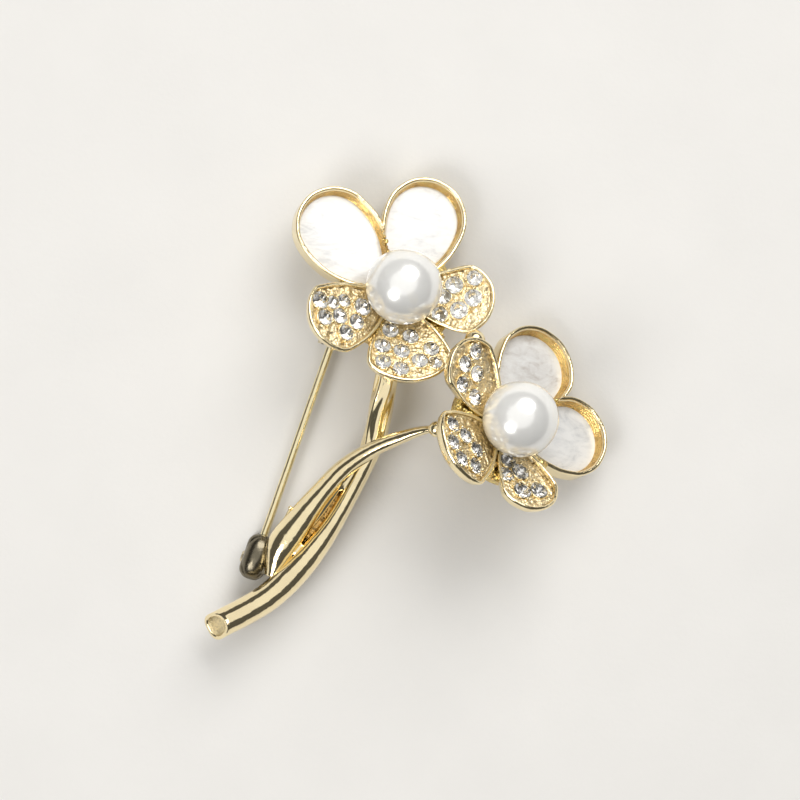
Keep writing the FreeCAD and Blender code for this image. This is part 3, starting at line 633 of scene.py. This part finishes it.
def shell_nacre(colours, blush):
    """Shell blade: white nacre with slow cloudy bands, fine growth lines and a glassy polish."""
    f = Finish("shell nacre blush" if blush else "shell nacre", Roughness=0.2, IOR=1.55,
               Coat_Weight=0.5, Coat_Roughness=0.04)
    white, grey = colours.shell_white[:3], colours.shell_band[:3]
    if blush:
        grey = (grey[0] * 1.02, grey[1] * 0.95, grey[2] * 0.89)
    lean = -0.35 if blush else 0.75
    cloud = f.noise(0.30, 4, 0.6, 1.6, f.place(scale=(0.55, 1.0, 1.0), rotation=(0, 0, lean)))
    lines = f.noise(1.1, 6, 0.65, 1.0, f.place(scale=(0.18, 1.0, 1.0), rotation=(0, 0, lean)))
    between = tuple(0.35 * b + 0.65 * a for a, b in zip(white, grey))
    f.colour(f.mix((cloud, 0.6), (lines, 0.4)), (0.36, grey), (0.46, between), (0.56, white))
    f.bump(lines, 0.015)
    return f.material


def pearl_nacre(colours):
    """Pearl: layered white-grey lustre, a soft body and a clear skin."""
    f = Finish("pearl nacre", Metallic=0.3, IOR=1.6, Coat_Weight=1.0, Coat_Roughness=0.09)
    c = colours.pearl
    drift = f.noise(0.28, 3, 0.5, 0.4)
    warm = (min(1, c[0] * 1.03), c[1], c[2] * 0.94)
    f.colour(drift, (0.3, shade(c, 0.94)), (0.55, c[:3]), (0.75, warm))
    f.roughness(f.noise(0.6, 2), 0.2, 0.27)
    f.bump(f.noise(0.35, 2), 0.012)
    return f.material


def cut_glass(colours):
    """Crown of a stone: clear glass with a faint tint."""
    f = Finish("clear cut glass", Roughness=0.0, IOR=1.58, Transmission_Weight=1.0)
    tint = colours.stone[:3]
    f.colour(f.noise(0.5, 2), (0.3, tint), (0.7, shade(tint, 1.03)))
    return f.material


def foil_back(_):
    """Silvered back of a stone, seen through its crown."""
    f = Finish("silver foil back", Metallic=1.0, Roughness=0.14)
    f.colour(f.noise(2.5, 3), (0.3, (0.86, 0.85, 0.83)), (0.7, (0.98, 0.975, 0.96)))
    return f.material


# ---- sizes and colours a user may change
def length(label, about, metres):
    """A size in metres that a user may change."""
    return bpy.props.FloatProperty(name=label, description=about, default=metres, unit="LENGTH",
                                   precision=5)


def tint(label, about, *rgb):
    """A colour that a user may change."""
    return bpy.props.FloatVectorProperty(name=label, description=about, default=rgb,
                                         subtype="COLOR", size=3)


class BroochSizes(bpy.types.PropertyGroup):
    """Sizes of the detail"""
    pearl_diameter: length("Pearl diameter", "Across each round pearl",
                           float(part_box("upper_pearl")[1].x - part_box("upper_pearl")[0].x))
    lip_width: length("Lip width", "Bright flat edge round every cup", 0.00045)
    shell_thickness: length("Shell thickness", "Blade of shell in each cup", 0.00055)
    bead_size: length("Bead size", "Radius of the beads that hold the stones", 0.0002)
    cast_wobble: length("Casting wobble", "Unevenness of the cast rims", 0.000018)
    stem_flutes: length("Stem flutes", "Height of the long ridges under the upper flower", 0.00009)


class BroochColours(bpy.types.PropertyGroup):
    """Colours of the finishes"""
    gold: tint("Gold", "Pale plating of stems and cups", 0.97, 0.82, 0.52)
    inner_gold: tint("Inner gold", "Warm gold inside the shell cups", 1.0, 0.70, 0.28)
    bed_gold: tint("Bed gold", "Frosted gold between the stones", 0.96, 0.79, 0.49)
    fitting: tint("Fittings", "Catch, strap and rivet", 0.78, 0.68, 0.48)
    # painted shade: the hinge lug's gold made dark for the shadow and dark reflections on it
    lug: tint("Hinge lug", "Gold of the hinge lug, darkened as painted shade", 0.20, 0.175, 0.125)
    shell_white: tint("Shell white", "Bright nacre of the shell", 0.875, 0.88, 0.88)
    shell_band: tint("Shell band", "Greyer bands in the shell", 0.62, 0.635, 0.65)
    pearl: tint("Pearl", "Body colour of the pearls", 0.95, 0.95, 0.93)
    stone: tint("Stone", "Tint of the clear stones", 0.99, 0.985, 0.975)
    floor: tint("Floor", "Plain studio floor", 0.80, 0.79, 0.77)


def sizes():
    return bpy.context.scene.brooch_sizes


def colours():
    return bpy.context.scene.brooch_colours


def add_piece(name, verts, faces, smooth=True, index=None, slot="", finishes=(), stands_for=None):
    """A piece that rides on the setting, with its finishes; its slot is not used; it may stand for a
    CAD node.
    """
    piece = put_mesh(name, verts, faces, smooth, index)
    for kind in finishes:
        piece.data.materials.append(finish(*kind) if isinstance(kind, tuple) else finish(kind))
    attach(piece, "setting")
    if stands_for:
        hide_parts(stands_for)


# ---- pieces
def ball(centre, radius, around=14, down=8):
    """Sphere: x = r sin b cos a, y = r sin b sin a, z = r cos b, with a point at each pole."""
    a = np.linspace(0, 2 * np.pi, around, endpoint=False)
    b = np.linspace(np.pi, 0, down + 2)[1:-1]
    rows = np.stack([np.sin(b)[:, None] * np.cos(a), np.sin(b)[:, None] * np.sin(a),
                     np.cos(b)[:, None] * np.ones(around)], -1)
    verts, faces, _ = skin(rows)
    verts[-2], verts[-1] = (0, 0, -1), (0, 0, 1)
    return verts * radius + np.asarray(centre), faces


class BROOCH_OT_shell_cups(bpy.types.Operator):
    """Four cups for the shell petals, each one surface from foot to lip to pocket floor"""
    bl_idname = "brooch.shell_cups"
    bl_label = "Shell cups"

    def execute(self, context):
        profile, split = shell_cup_profile(sizes())
        for i, name in enumerate(filter(is_shell, PETALS)):
            rows = petal_rows(name, profile, 200, sizes().cast_wobble / MM, 11 + i)
            verts, faces, owner = skin(to_place(name, rows))
            add_piece("cup_" + name.replace("_cup", ""), verts, faces, index=owner >= split,
                      slot="gold_cup", finishes=[cup_gold, amber_wall], stands_for=name)
        return {"FINISHED"}


class BROOCH_OT_shell_blades(bpy.types.Operator):
    """Four flat blades of shell that fill their cups from wall to wall"""
    bl_idname = "brooch.shell_blades"
    bl_label = "Shell blades"

    def execute(self, context):
        low = SHELL["rim"] - SHELL["pocket"] + 0.01
        top = low + sizes().shell_thickness / MM
        at_top = 0.76
        line = [(0.94, low), (at_top, top - 0.05), (at_top + 0.06, top)]
        wall = wall_line(line, 0.03)
        profile = np.vstack([gathered(0.94, low, 0.98, 0.05, 4), wall,
                             gathered(at_top + 0.06, top, 0.03, 0.98, 10)])
        for name in filter(is_shell, PETALS):
            verts, faces, _ = skin(to_place(name, petal_rows(name, profile, 160)))
            add_piece("blade_" + name.replace("_cup", ""), verts, faces, slot="shell",
                      finishes=[(shell_nacre, name == BLUSH_BLADE)],
                      stands_for=name.replace("_cup_", "_inlay_"))
        return {"FINISHED"}


class BROOCH_OT_pave_cups(bpy.types.Operator):
    """Six fan-shaped cups with a granular bed for stones"""
    bl_idname = "brooch.pave_cups"
    bl_label = "Stone-set cups"

    def execute(self, context):
        profile, split, bed = pave_cup_profile(sizes())
        for i, name in enumerate(STONES):
            rows = petal_rows(name, profile, 320, sizes().cast_wobble / MM, 31 + i)
            rows[bed:, :, 2] += self.grain(rows[bed:, :, :2], i)
            rows[bed:, :, 2] -= self.seats(rows[bed:, :, :2], STONES[name])
            verts, faces, owner = skin(to_place(name, rows))
            index = np.where(owner >= bed - 1, 2, np.where(owner >= split, 1, 0))
            add_piece("cup_" + name.replace("_cup", ""), verts, faces, index=index,
                      slot="gold_cup", finishes=[cup_gold, amber_wall, grainy_gold], stands_for=name)
        return {"FINISHED"}

    @staticmethod
    def seats(flat, stones):
        """Depth of the conical seats: 0.85 r at a stone's middle, falling to nothing at its girdle."""
        places = np.array(stones)
        gap = np.hypot(flat[..., 0, None] - places[:, 0], flat[..., 1, None] - places[:, 1])
        share = np.clip(1.12 - gap / (places[:, 2] / 2), 0, 1)
        return (np.minimum(share * 2.2, 0.35 + 0.65 * share) * places[:, 2] / 2 * (share > 0)).max(-1)

    @staticmethod
    def grain(flat, seed):
        """Sum of plane sine waves in random directions, 0.6 to 2 mm long, up to 0.06 mm high."""
        rng = np.random.default_rng(seed)
        k = rng.uniform(3.0, 10.0, 14)
        a = rng.uniform(0, 2 * np.pi, (2, 14))
        phase = (flat[..., 0, None] * np.cos(a[0]) + flat[..., 1, None] * np.sin(a[0])) * k + a[1]
        return np.sin(phase).sum(-1) * 0.012


def brilliant(diameter, start):
    """Round brilliant on an eightfold grid: table, star points, girdle, pavilion ring, culet.

    Ring j is a circle of radius r_j at height z_j whose corners are turned by half a step on
    alternate rings, so the faces between them are triangles and kites.
    """
    r = diameter / 2
    eight = np.radians(start) + np.arange(8) * np.pi / 4
    sixteen = np.radians(start) + np.arange(16) * np.pi / 8

    def ring(angles, radius, z):
        return np.stack([np.cos(angles) * radius, np.sin(angles) * radius, np.full(len(angles), z)], 1)
    table = ring(eight, 0.55 * r, 0.34 * r)
    star = ring(eight + np.pi / 8, 0.8 * r, 0.19 * r)
    girdle = ring(sixteen, r, 0.03 * r)
    lower = ring(sixteen, r, -0.05 * r)
    mid = ring(eight + np.pi / 8, 0.52 * r, -0.45 * r)
    culet = np.array([[0, 0, -0.82 * r]])
    verts = np.vstack([table, star, girdle, lower, mid, culet])
    T, S, G, L, M, C = 0, 8, 16, 32, 48, 56
    i = np.arange(8)
    n = (i + 1) % 8
    g0, g1, g2 = G + 2 * i, G + 2 * i + 1, G + (2 * i + 2) % 16
    l0, l1, l2 = L + 2 * i, L + 2 * i + 1, L + (2 * i + 2) % 16
    crown = [list(range(8))]
    crown += np.stack([T + i, S + i, T + n], 1).tolist()
    crown += np.stack([T + i, S + (i - 1) % 8, g0, S + i], 1).tolist()
    crown += np.stack([S + i, g0, g1], 1).tolist() + np.stack([S + i, g1, g2], 1).tolist()
    edge = np.stack([g0, l0, l1, g1], 1).tolist() + np.stack([g1, l1, l2, g2], 1).tolist()
    back = np.stack([l0, M + i, l1], 1).tolist() + np.stack([l1, M + i, l2], 1).tolist()
    back += np.stack([l0, M + (i - 1) % 8, np.full(8, C), M + i], 1).tolist()
    return verts, crown + edge + back, [0] * (len(crown) + len(edge)) + [1] * len(back)


class BROOCH_OT_stones(bpy.types.Operator):
    """Round-cut stones of three sizes, foil backed, set a little unevenly by hand"""
    bl_idname = "brooch.stones"
    bl_label = "Stones"

    def execute(self, context):
        for i, (name, stones) in enumerate(STONES.items()):
            rng = np.random.default_rng(70 + i)
            parts, index = [], []
            for along, across, size in stones:
                verts, faces, kinds = brilliant(size * 0.99, rng.uniform(0, 45))
                lean = turn(rng.normal(size=3), rng.uniform(0, 5))
                seat = np.array([along, across, PAVE["rim"] - STONE_STAND + 0.02])
                parts.append((to_place(name, verts @ lean.T + seat, share=False), faces))
                index += kinds
            verts, faces = join(parts)
            add_piece(name.replace("_cup", "_stone_set"), verts, faces, False, index,
                      slot="stone", finishes=[cut_glass, foil_back],
                      stands_for=name.replace("_cup_", "_stones_"))
        return {"FINISHED"}


class BROOCH_OT_beads(bpy.types.Operator):
    """Small cast beads round every stone, holding it in its bed"""
    bl_idname = "brooch.beads"
    bl_label = "Holding beads"

    def execute(self, context):
        size = sizes().bead_size / MM
        for i, (name, stones) in enumerate(STONES.items()):
            rng = np.random.default_rng(120 + i)
            centre, radius, out = petal_outline(PAVE, *PETALS[name][2:], 240)
            edge = centre + (radius - 0.6)[:, None] * out
            middle = petal_heart(name)
            places = []
            for along, across, diameter in stones:
                start = rng.uniform(0, 2 * np.pi)
                for k in range(6):
                    a = start + k * np.pi / 3 + rng.uniform(-0.2, 0.2)
                    reach = diameter / 2 + size * 0.55
                    places.append((along + reach * np.cos(a), across + reach * np.sin(a)))
            parts, kept = [], []
            for p in map(np.array, places):
                near = min(np.hypot(*(p - s[:2])) - s[2] / 2 for s in stones)
                nearest = edge[np.argmin(np.hypot(*(edge - p).T))]
                inside = np.hypot(*(p - middle)) < np.hypot(*(nearest - middle))
                crowded = any(np.hypot(*(p - q)) < size * 1.7 for q in kept)
                if near < size * 0.3 or not inside or crowded:
                    continue
                kept.append(p)
                r = size * rng.uniform(0.75, 1.2)
                v, f = ball((0, 0, 0), 1.0, 10, 5)
                v = v * np.array([r, r, r * 1.25]) + np.array([*p, PAVE["rim"] - 0.36])
                parts.append((to_place(name, v, share=False), f))
            for along, across, diameter in stones:
                v, f = self.collar(diameter / 2 + 0.05, 0.09, rng)
                v = v + np.array([along, across, PAVE["rim"] - 0.42])
                parts.append((to_place(name, v, share=False), f))
            add_piece(name.replace("_cup", "_beads"), *join(parts),
                      slot="gold_cup", finishes=[polished_gold])
        return {"FINISHED"}

    @staticmethod
    def collar(radius, thick, rng):
        """Uneven ring: a circle of radius thick (1 + 0.25 sin 3a + 0.15 sin 5a) round a larger one."""
        a = np.linspace(0, 2 * np.pi, 28, endpoint=False)[:, None]
        b = np.linspace(0, 2 * np.pi, 8, endpoint=False)[None]
        t = thick * (1 + 0.25 * np.sin(3 * a + rng.uniform(0, 6))
                     + 0.15 * np.sin(5 * a + rng.uniform(0, 6)))
        out = radius + t * np.cos(b)
        rows = np.stack([out * np.cos(a), out * np.sin(a), t * 1.3 * np.sin(b)], -1)
        return closed_rows(rows[::-1])


class BROOCH_OT_seams(bpy.types.Operator):
    """Granules of solder strung along the seams between neighbouring cups"""
    bl_idname = "brooch.seams"
    bl_label = "Seam granules"

    def execute(self, context):
        for label, flower in (("upper", UPPER), ("lower", LOWER)):
            rng = np.random.default_rng(5 if flower is UPPER else 6)
            names = [n for n, p in PETALS.items() if p[0] is flower]
            parts = []
            for name in names:
                high = seam_bearings(name)[1]
                gaps = [abs((seam_bearings(n)[0] - high + 180) % 360 - 180) for n in names]
                shells = is_shell(name) + is_shell(names[int(np.argmin(gaps))])
                slope = 0.05 if shells else 0.26
                base = 1.55 if shells else 1.35
                out = (6.9, 6.0, 8.0)[shells]
                for r in np.arange(3.4, out, 0.27):
                    a = np.radians(high)
                    side = rng.normal(0, 0.09)
                    size = rng.uniform(0.13, 0.27)
                    p = np.array([r * np.cos(a) - side * np.sin(a), r * np.sin(a) + side * np.cos(a),
                                  base + slope * r + rng.uniform(-0.15, 0.1)])
                    v, f = ball((0, 0, 0), size, 9, 5)
                    v = v * rng.uniform(0.8, 1.25, 3) + p
                    parts.append((v @ flower_turn(flower).T + np.array(flower["apex"]), f))
            add_piece(label + "_seam_granules", *join(parts),
                      slot="gold_cast", finishes=[seam_gold])
        return {"FINISHED"}


class BROOCH_OT_pearls(bpy.types.Operator):
    """Two round half-drilled pearls"""
    bl_idname = "brooch.pearls"
    bl_label = "Pearls"

    def execute(self, context):
        for label, flower in (("upper", UPPER), ("lower", LOWER)):
            verts, faces = ball((0, 0, 0), sizes().pearl_diameter / MM / 2, 120, 60)
            verts = verts @ flower_turn(flower).T + pearl_middle(flower)
            add_piece(label + "_round_pearl", verts, faces,
                      slot="pearl", finishes=[pearl_nacre], stands_for=label + "_pearl")
        return {"FINISHED"}


def smooth_path(stations, count):
    """Centripetal-style cubic (Catmull-Rom) through the stations, parameter = distance along."""
    p = stations
    s = np.concatenate([[0], np.cumsum(np.linalg.norm(np.diff(p[:, :2], axis=0), axis=1))])
    slopes = np.gradient(p, s, axis=0)
    t = np.linspace(0, s[-1], count)
    i = np.clip(np.searchsorted(s, t, side="right") - 1, 0, len(s) - 2)
    h = (s[i + 1] - s[i])[:, None]
    x = ((t - s[i]) / (s[i + 1] - s[i]))[:, None]
    h00, h10 = 2 * x ** 3 - 3 * x ** 2 + 1, x ** 3 - 2 * x ** 2 + x
    h01, h11 = -2 * x ** 3 + 3 * x ** 2, x ** 3 - x ** 2
    return h00 * p[i] + h10 * h * slopes[i] + h01 * p[i + 1] + h11 * h * slopes[i + 1], t / s[-1]


def stem_rows(stations, count, around, ridge, crest, flutes=None, round_end=0.0):
    """Stem surface: a section of width w and thickness t carried along the path.

    Across = w / 2 * (cos a + ridge * sin^2 a) and up = t * (sin a)^crest for the worn side; the back
    is a shallow curve. Within the share round_end of the start it turns into an ellipse. Flutes, if
    given, lift the skin by their height at each station times cos(7 a + a slow weave along it).
    """
    path, s = smooth_path(stations, count)
    ahead = unit(np.gradient(path[:, :2], axis=0))
    side = np.stack([-ahead[:, 1], ahead[:, 0], np.zeros(count)], 1)
    a = np.linspace(0, 2 * np.pi, around, endpoint=False)
    top = np.sin(a) > 0
    lifted = np.abs(np.sin(a))
    across = np.sign(np.cos(a)) * np.abs(np.cos(a)) ** np.where(top, 0.9, 0.5)
    across = across + np.where(top, ridge * lifted ** 2, 0)
    up = np.where(top, 0.3 + 0.7 * lifted ** crest, 0.3 - 0.3 * lifted ** 0.7)
    across = across[None] * np.ones((count, 1))
    up = up[None] * np.ones((count, 1))
    tip = np.clip(1 - s / round_end, 0, 1)[:, None] if round_end else np.zeros((count, 1))
    up = up * (1 - tip) + (0.5 + 0.5 * np.sin(a)) * tip
    across = across * (1 - tip) + np.cos(a) * tip
    if flutes is not None:
        wave = flutes(s)[:, None] * np.cos(7 * a[None] + 2.2 * np.sin(9 * s[:, None] * 3.0))
        up = up + wave * np.where(top, lifted, 0)
        across = across * (1 + 0.6 * wave)
    return (path[:, None, :3] + side[:, None] * (across * path[:, 3, None] / 2)[..., None]
            + np.array([0, 0, 1.0]) * (up * path[:, 4, None])[..., None]), s


class BROOCH_OT_main_stem(bpy.types.Operator):
    """Main stem with its slanted cut foot and the fluted neck under the upper flower"""
    bl_idname = "brooch.main_stem"
    bl_label = "Main stem"

    def execute(self, context):
        height = sizes().stem_flutes / MM / 2
        rows, s = stem_rows(MAIN_STEM * np.array([1, 1, 1, 0.97, 0.99]), 320, 72, 0.0, 1.0,
                            lambda s: height * np.clip((s - NECK_START) / NECK_FADE, 0, 1), ROUND_FOOT)
        ahead = unit(MAIN_STEM[2, :3] - MAIN_STEM[0, :3])
        lean = np.radians(CUT_LEAN)
        normal = -ahead * np.sin(lean) + np.array([0, 0, 1]) * np.cos(lean)
        depth = (rows - CUT_POINT) @ normal
        first = int(np.argmax((depth < -0.05).all(1)))
        body = rows[first:]
        face = body[0] - ahead * (((body[0] - CUT_POINT) @ normal) / (ahead @ normal))[:, None]
        middle = face.mean(0)

        def ring(gather, sink):
            return face + (middle - face) * gather - normal * sink
        cap = [ring(0.9, 0.34), ring(0.6, 0.36), ring(0.36, 0.34), ring(0.3, 0.26), ring(0.27, 0.1),
               ring(0.24, 0.02), ring(0.18, 0.0), ring(0.07, 0.01), ring(0.02, 0.04)]
        verts, faces, owner = skin(np.concatenate([np.array(cap), (face - normal * 0.1)[None], body]))
        add_piece("main_stem_skin", verts, faces, index=np.where(owner < 4, 1, 0),
                  slot="gold_polished", finishes=[polished_gold, pitted_gold], stands_for="main_stem")
        return {"FINISHED"}


class BROOCH_OT_side_stem(bpy.types.Operator):
    """Leaf-like side stem that crosses over the main stem to the lower flower"""
    bl_idname = "brooch.side_stem"
    bl_label = "Side stem"

    def execute(self, context):
        rows, _ = stem_rows(SIDE_STEM, 240, 64, -0.1, 1.25)
        verts, faces, _ = skin(rows)
        add_piece("side_stem_skin", verts, faces,
                  slot="gold_polished", finishes=[polished_gold], stands_for="side_stem")
        return {"FINISHED"}


def closed_rows(rows):
    """Quads between successive closed rows of a grid whose last row joins its first."""
    n, m, _ = rows.shape
    j, i = np.meshgrid(np.arange(n), np.arange(m), indexing="ij")
    j2, i2 = (j + 1) % n, (i + 1) % m
    faces = np.stack([j * m + i, j * m + i2, j2 * m + i2, j2 * m + i], -1)
    return rows.reshape(-1, 3), faces.reshape(-1, 4)


def rod(path, radii, around=14):
    """Round rod: circle of radius r_j carried along the path's points, square to each one's heading."""
    path = np.asarray(path, float)
    ahead = unit(np.gradient(path, axis=0))
    side = unit(np.cross(ahead, (0, 0, 1.0)))
    up = np.cross(side, ahead)
    a = np.linspace(0, 2 * np.pi, around, endpoint=False)
    ring = side[:, None] * np.cos(a)[:, None] + up[:, None] * np.sin(a)[:, None]
    verts, faces, _ = skin(path[:, None] + ring * np.asarray(radii)[:, None, None])
    return verts, faces


class BROOCH_OT_leaf_spur(bpy.types.Operator):
    """Small ball-ended casting spur beside the leaf of the side stem"""
    bl_idname = "brooch.leaf_spur"
    bl_label = "Leaf spur"

    def execute(self, context):
        t = np.linspace(0, 1, 14)[:, None]
        low, middle, high = SPUR
        path = (1 - t) ** 2 * low + 2 * t * (1 - t) * middle + t ** 2 * high
        shaft = rod(path, np.linspace(0.26, 0.13, 14))
        knob = ball(high, 0.25, 16, 9)
        add_piece("leaf_spur", *join([shaft, knob]),
                  slot="gold_polished", finishes=[polished_gold])
        return {"FINISHED"}


class BROOCH_OT_slot_web(bpy.types.Operator):
    """Smooth web that fills the gap between the stems, with a round-ended slot through it"""
    bl_idname = "brooch.slot_web"
    bl_label = "Slot web"

    def execute(self, context):
        a = np.linspace(0, 2 * np.pi, 160, endpoint=False)
        ahead = unit(SLOT["heading"])
        side = np.array([-ahead[1], ahead[0]])
        slot = self.stadium(a, ahead, side) + SLOT["middle"]
        lens = (np.array(WEB["middle"]) + WEB["half_length"] * np.cos(a)[:, None] * ahead
                + WEB["half_width"] * np.sin(a)[:, None] * side)
        section = np.array([(0, 0.4), (0, 1.0), (0, 1.48), (0.04, 1.62), (0.12, 1.68), (0.5, 1.78),
                            (1, 1.9), (1, 0.5), (0.5, 0.4)])
        rows = np.empty((len(a), len(section), 3))
        share = section[:, 0][None, :, None]
        rows[..., :2] = slot[:, None] * (1 - share) + lens[:, None] * share
        rows[..., 2] = BACK + section[:, 1]
        verts, faces = closed_rows(rows)
        inner = np.tile(np.arange(len(section)) < 2, len(a)).astype(int)
        add_piece("slot_web", verts, faces, index=inner,
                  slot="gold_polished", finishes=[polished_gold, amber_wall])
        return {"FINISHED"}

    @staticmethod
    def stadium(a, ahead, side):
        """Round-ended slot: a circle of uneven radius r(a) swept to each side, its middle bowed aside.

        With k = clamp(2.2 cos a), along = half_run k + r cos a and across = r sin a - bow (1 - k^2).
        """
        run = np.clip(2.2 * np.cos(a), -1, 1)
        r = SLOT["radius"] + 0.03 * np.sin(3 * a + 1) + 0.02 * np.sin(7 * a)
        along = SLOT["half_run"] * run + r * np.cos(a)
        across = r * np.sin(a) - SLOT["bow"] * (1 - run ** 2)
        return along[:, None] * ahead + across[:, None] * side


class BROOCH_OT_lug_crown(bpy.types.Operator):
    """Rounded bulb cast on top of the hinge lug: a flattened dome over a squared oval"""
    bl_idname = "brooch.lug_crown"
    bl_label = "Lug crown"

    def execute(self, context):
        low, high = (np.array(c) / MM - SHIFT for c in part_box("hinge_rivet"))
        heading = np.radians(PIN_HEADING)
        ahead = np.array([np.cos(heading), np.sin(heading)])
        side = np.array([-ahead[1], ahead[0]])
        middle = ((low + high) / 2)[:2] + LUG["ahead"] * ahead
        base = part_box("hinge_lug")[1].z / MM - SHIFT[2] - LUG["crown"]
        a = np.linspace(0, 2 * np.pi, 72, endpoint=False)
        t = np.concatenate([[np.pi / 2, np.pi / 2], np.linspace(np.pi / 2, 0.03, 26)[1:]])
        drop = np.where(np.arange(len(t)) == 0, LUG["skirt"], 0.0)
        along, across = (np.sign(w) * np.abs(w) ** 0.8 for w in (np.cos(a), np.sin(a)))
        edge = (LUG["half_length"] * along[:, None] * ahead
                + LUG["half_width"] * across[:, None] * side)
        rows = np.empty((len(t), len(a), 3))
        rows[..., :2] = middle + edge[None] * np.sin(t)[:, None, None] * (1 - 0.1 * drop)[:, None, None]
        rows[..., 2] = (base + LUG["rise"] * np.cos(t) - drop)[:, None]
        verts, faces, _ = skin(rows)
        # the lug's bulb takes the dark lug gold, painted shade
        add_piece("hinge_lug_crown", verts, faces,
                  slot="gold_polished", finishes=[(fitting_gold, True)])
        return {"FINISHED"}


class BROOCH_OT_metalwork(bpy.types.Operator):
    """Finishes for the hubs, solder beads, hinge, catch and pin"""
    bl_idname = "brooch.metalwork"
    bl_label = "Hubs and fittings"

    def execute(self, context):
        plan = [
            # the hubs take the seam gold, with its painted highlight and shade
            ((seam_gold,), ["upper_flower_hub", "lower_flower_hub"]),
            # the back plate seen through the slot takes the painted-shade casting
            ((dark_casting,), ["stem_back_plate"]),
            ((cup_gold,), ["stem_boss", "flower_bridge", "upper_pearl_peg", "lower_pearl_peg"]),
            # the hinge lug takes the dark lug gold, painted shade
            ((fitting_gold, True), ["hinge_lug"]),
            ((fitting_gold, False), ["catch_strap", "catch_housing", "catch_roller", "hinge_rivet"]),
            ((drawn_wire,), ["pin_stem"])]
        for kind, names in plan:
            for name in names:
                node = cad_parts[name]
                if not node.material_slots:
                    raise RuntimeError(name + " has no material slot")
                for slot in node.material_slots:
                    slot.material = finish(*kind)
        return {"FINISHED"}


class BROOCH_OT_stage(bpy.types.Operator):
    """Plain pale floor, soft boxes and the camera straight above the worn face"""
    bl_idname = "brooch.stage"
    bl_label = "Studio stage"

    def execute(self, context):
        scene = context.scene
        half, z = FLOOR_SIDE / 2, CAD_BOX[0][2] - FLOOR_GAP
        mesh = bpy.data.meshes.new("studio_floor")
        mesh.from_pydata([(-half, -half, z), (half, -half, z), (half, half, z), (-half, half, z)], [],
                         [(0, 1, 2, 3)])
        floor = bpy.data.objects.new("studio_floor", mesh)
        scene.collection.objects.link(floor)
        mesh.materials.append(self.floor_finish())
        world = bpy.data.worlds.new("studio")
        scene.world = world
        world.use_nodes = True
        back = world.node_tree.nodes["Background"]
        back.inputs["Color"].default_value = (0.64, 0.63, 0.61, 1)
        back.inputs["Strength"].default_value = 0.15
        for name, (place, size, power, colour) in LIGHTS.items():
            self.soft_box(name, place, size, power, colour)
        self.camera(scene)
        return {"FINISHED"}

    @staticmethod
    def floor_finish():
        """Pale board with a faint paper tooth; it is open from below so the back can be seen."""
        f = Finish("pale floor board", Roughness=0.9)
        c = colours().floor
        tone = f.noise(0.08, 4)
        f.colour(tone, (0.3, shade(c, 0.985)), (0.7, shade(c, 1.015)))
        f.bump(f.noise(2.0, 4), 0.02)
        out = f.tree.nodes["Material Output"]
        mix = f.node("ShaderNodeMixShader")
        clear = f.node("ShaderNodeBsdfTransparent")
        where = f.node("ShaderNodeNewGeometry")
        f.link(where.outputs["Backfacing"], mix.inputs[0])
        f.link(f.shader.outputs[0], mix.inputs[1])
        f.link(clear.outputs[0], mix.inputs[2])
        f.link(mix.outputs[0], out.inputs["Surface"])
        return f.material

    @staticmethod
    def soft_box(name, place, size, power, colour):
        """Oval area light at a place, facing the middle of the brooch."""
        light = bpy.data.lights.new(name, "AREA")
        light.shape = "ELLIPSE"
        light.size, light.size_y = size
        light.energy = power
        light.color = colour
        box = bpy.data.objects.new(name, light)
        z = unit(np.array(place))
        x = unit(np.cross((0, 0, 1), z))
        y = np.cross(z, x)
        basis = np.eye(4)
        basis[:3, 0], basis[:3, 1], basis[:3, 2], basis[:3, 3] = x, y, z, place
        box.matrix_world = Matrix(basis.tolist())
        bpy.context.scene.collection.objects.link(box)

    @staticmethod
    def camera(scene):
        """Long lens straight above the worn face, level with the brooch's back."""
        data = bpy.data.cameras.new("camera")
        data.sensor_width = FILM_WIDTH
        data.lens = FILM_WIDTH * VIEW_DISTANCE / VIEW_WIDTH
        data.clip_start, data.clip_end = 0.01, 10.0
        view = bpy.data.objects.new("camera", data)
        view.location = tuple((np.array(VIEW_POINT) + SHIFT) * MM)
        scene.collection.objects.link(view)
        scene.camera = view
        scene.view_settings.view_transform = "Standard"


class BROOCH_PT_panel(bpy.types.Panel):
    """Sizes, colours and building steps of the brooch"""
    bl_idname = "BROOCH_PT_panel"
    bl_label = "Brooch"
    bl_space_type = "VIEW_3D"
    bl_region_type = "UI"
    bl_category = "Brooch"

    def draw(self, context):
        for group in (context.scene.brooch_sizes, context.scene.brooch_colours):
            box = self.layout.box()
            for key in group.__annotations__:
                box.prop(group, key)
        for step in STEPS:
            self.layout.operator(step.bl_idname)


STEPS = [BROOCH_OT_shell_cups, BROOCH_OT_shell_blades, BROOCH_OT_pave_cups, BROOCH_OT_stones,
         BROOCH_OT_beads, BROOCH_OT_seams, BROOCH_OT_pearls, BROOCH_OT_main_stem, BROOCH_OT_side_stem,
         BROOCH_OT_leaf_spur, BROOCH_OT_slot_web, BROOCH_OT_lug_crown, BROOCH_OT_metalwork,
         BROOCH_OT_stage]
CLASSES = [BroochSizes, BroochColours, *STEPS, BROOCH_PT_panel]


def register():
    for each in CLASSES:
        bpy.utils.register_class(each)
    bpy.types.Scene.brooch_sizes = bpy.props.PointerProperty(type=BroochSizes)
    bpy.types.Scene.brooch_colours = bpy.props.PointerProperty(type=BroochColours)


def unregister():
    del bpy.types.Scene.brooch_colours
    del bpy.types.Scene.brooch_sizes
    for each in reversed(CLASSES):
        bpy.utils.unregister_class(each)


def main():
    register()
    for step in STEPS:
        getattr(bpy.ops.brooch, step.bl_idname.split(".")[1])()


if __name__ == "__main__":
    main()
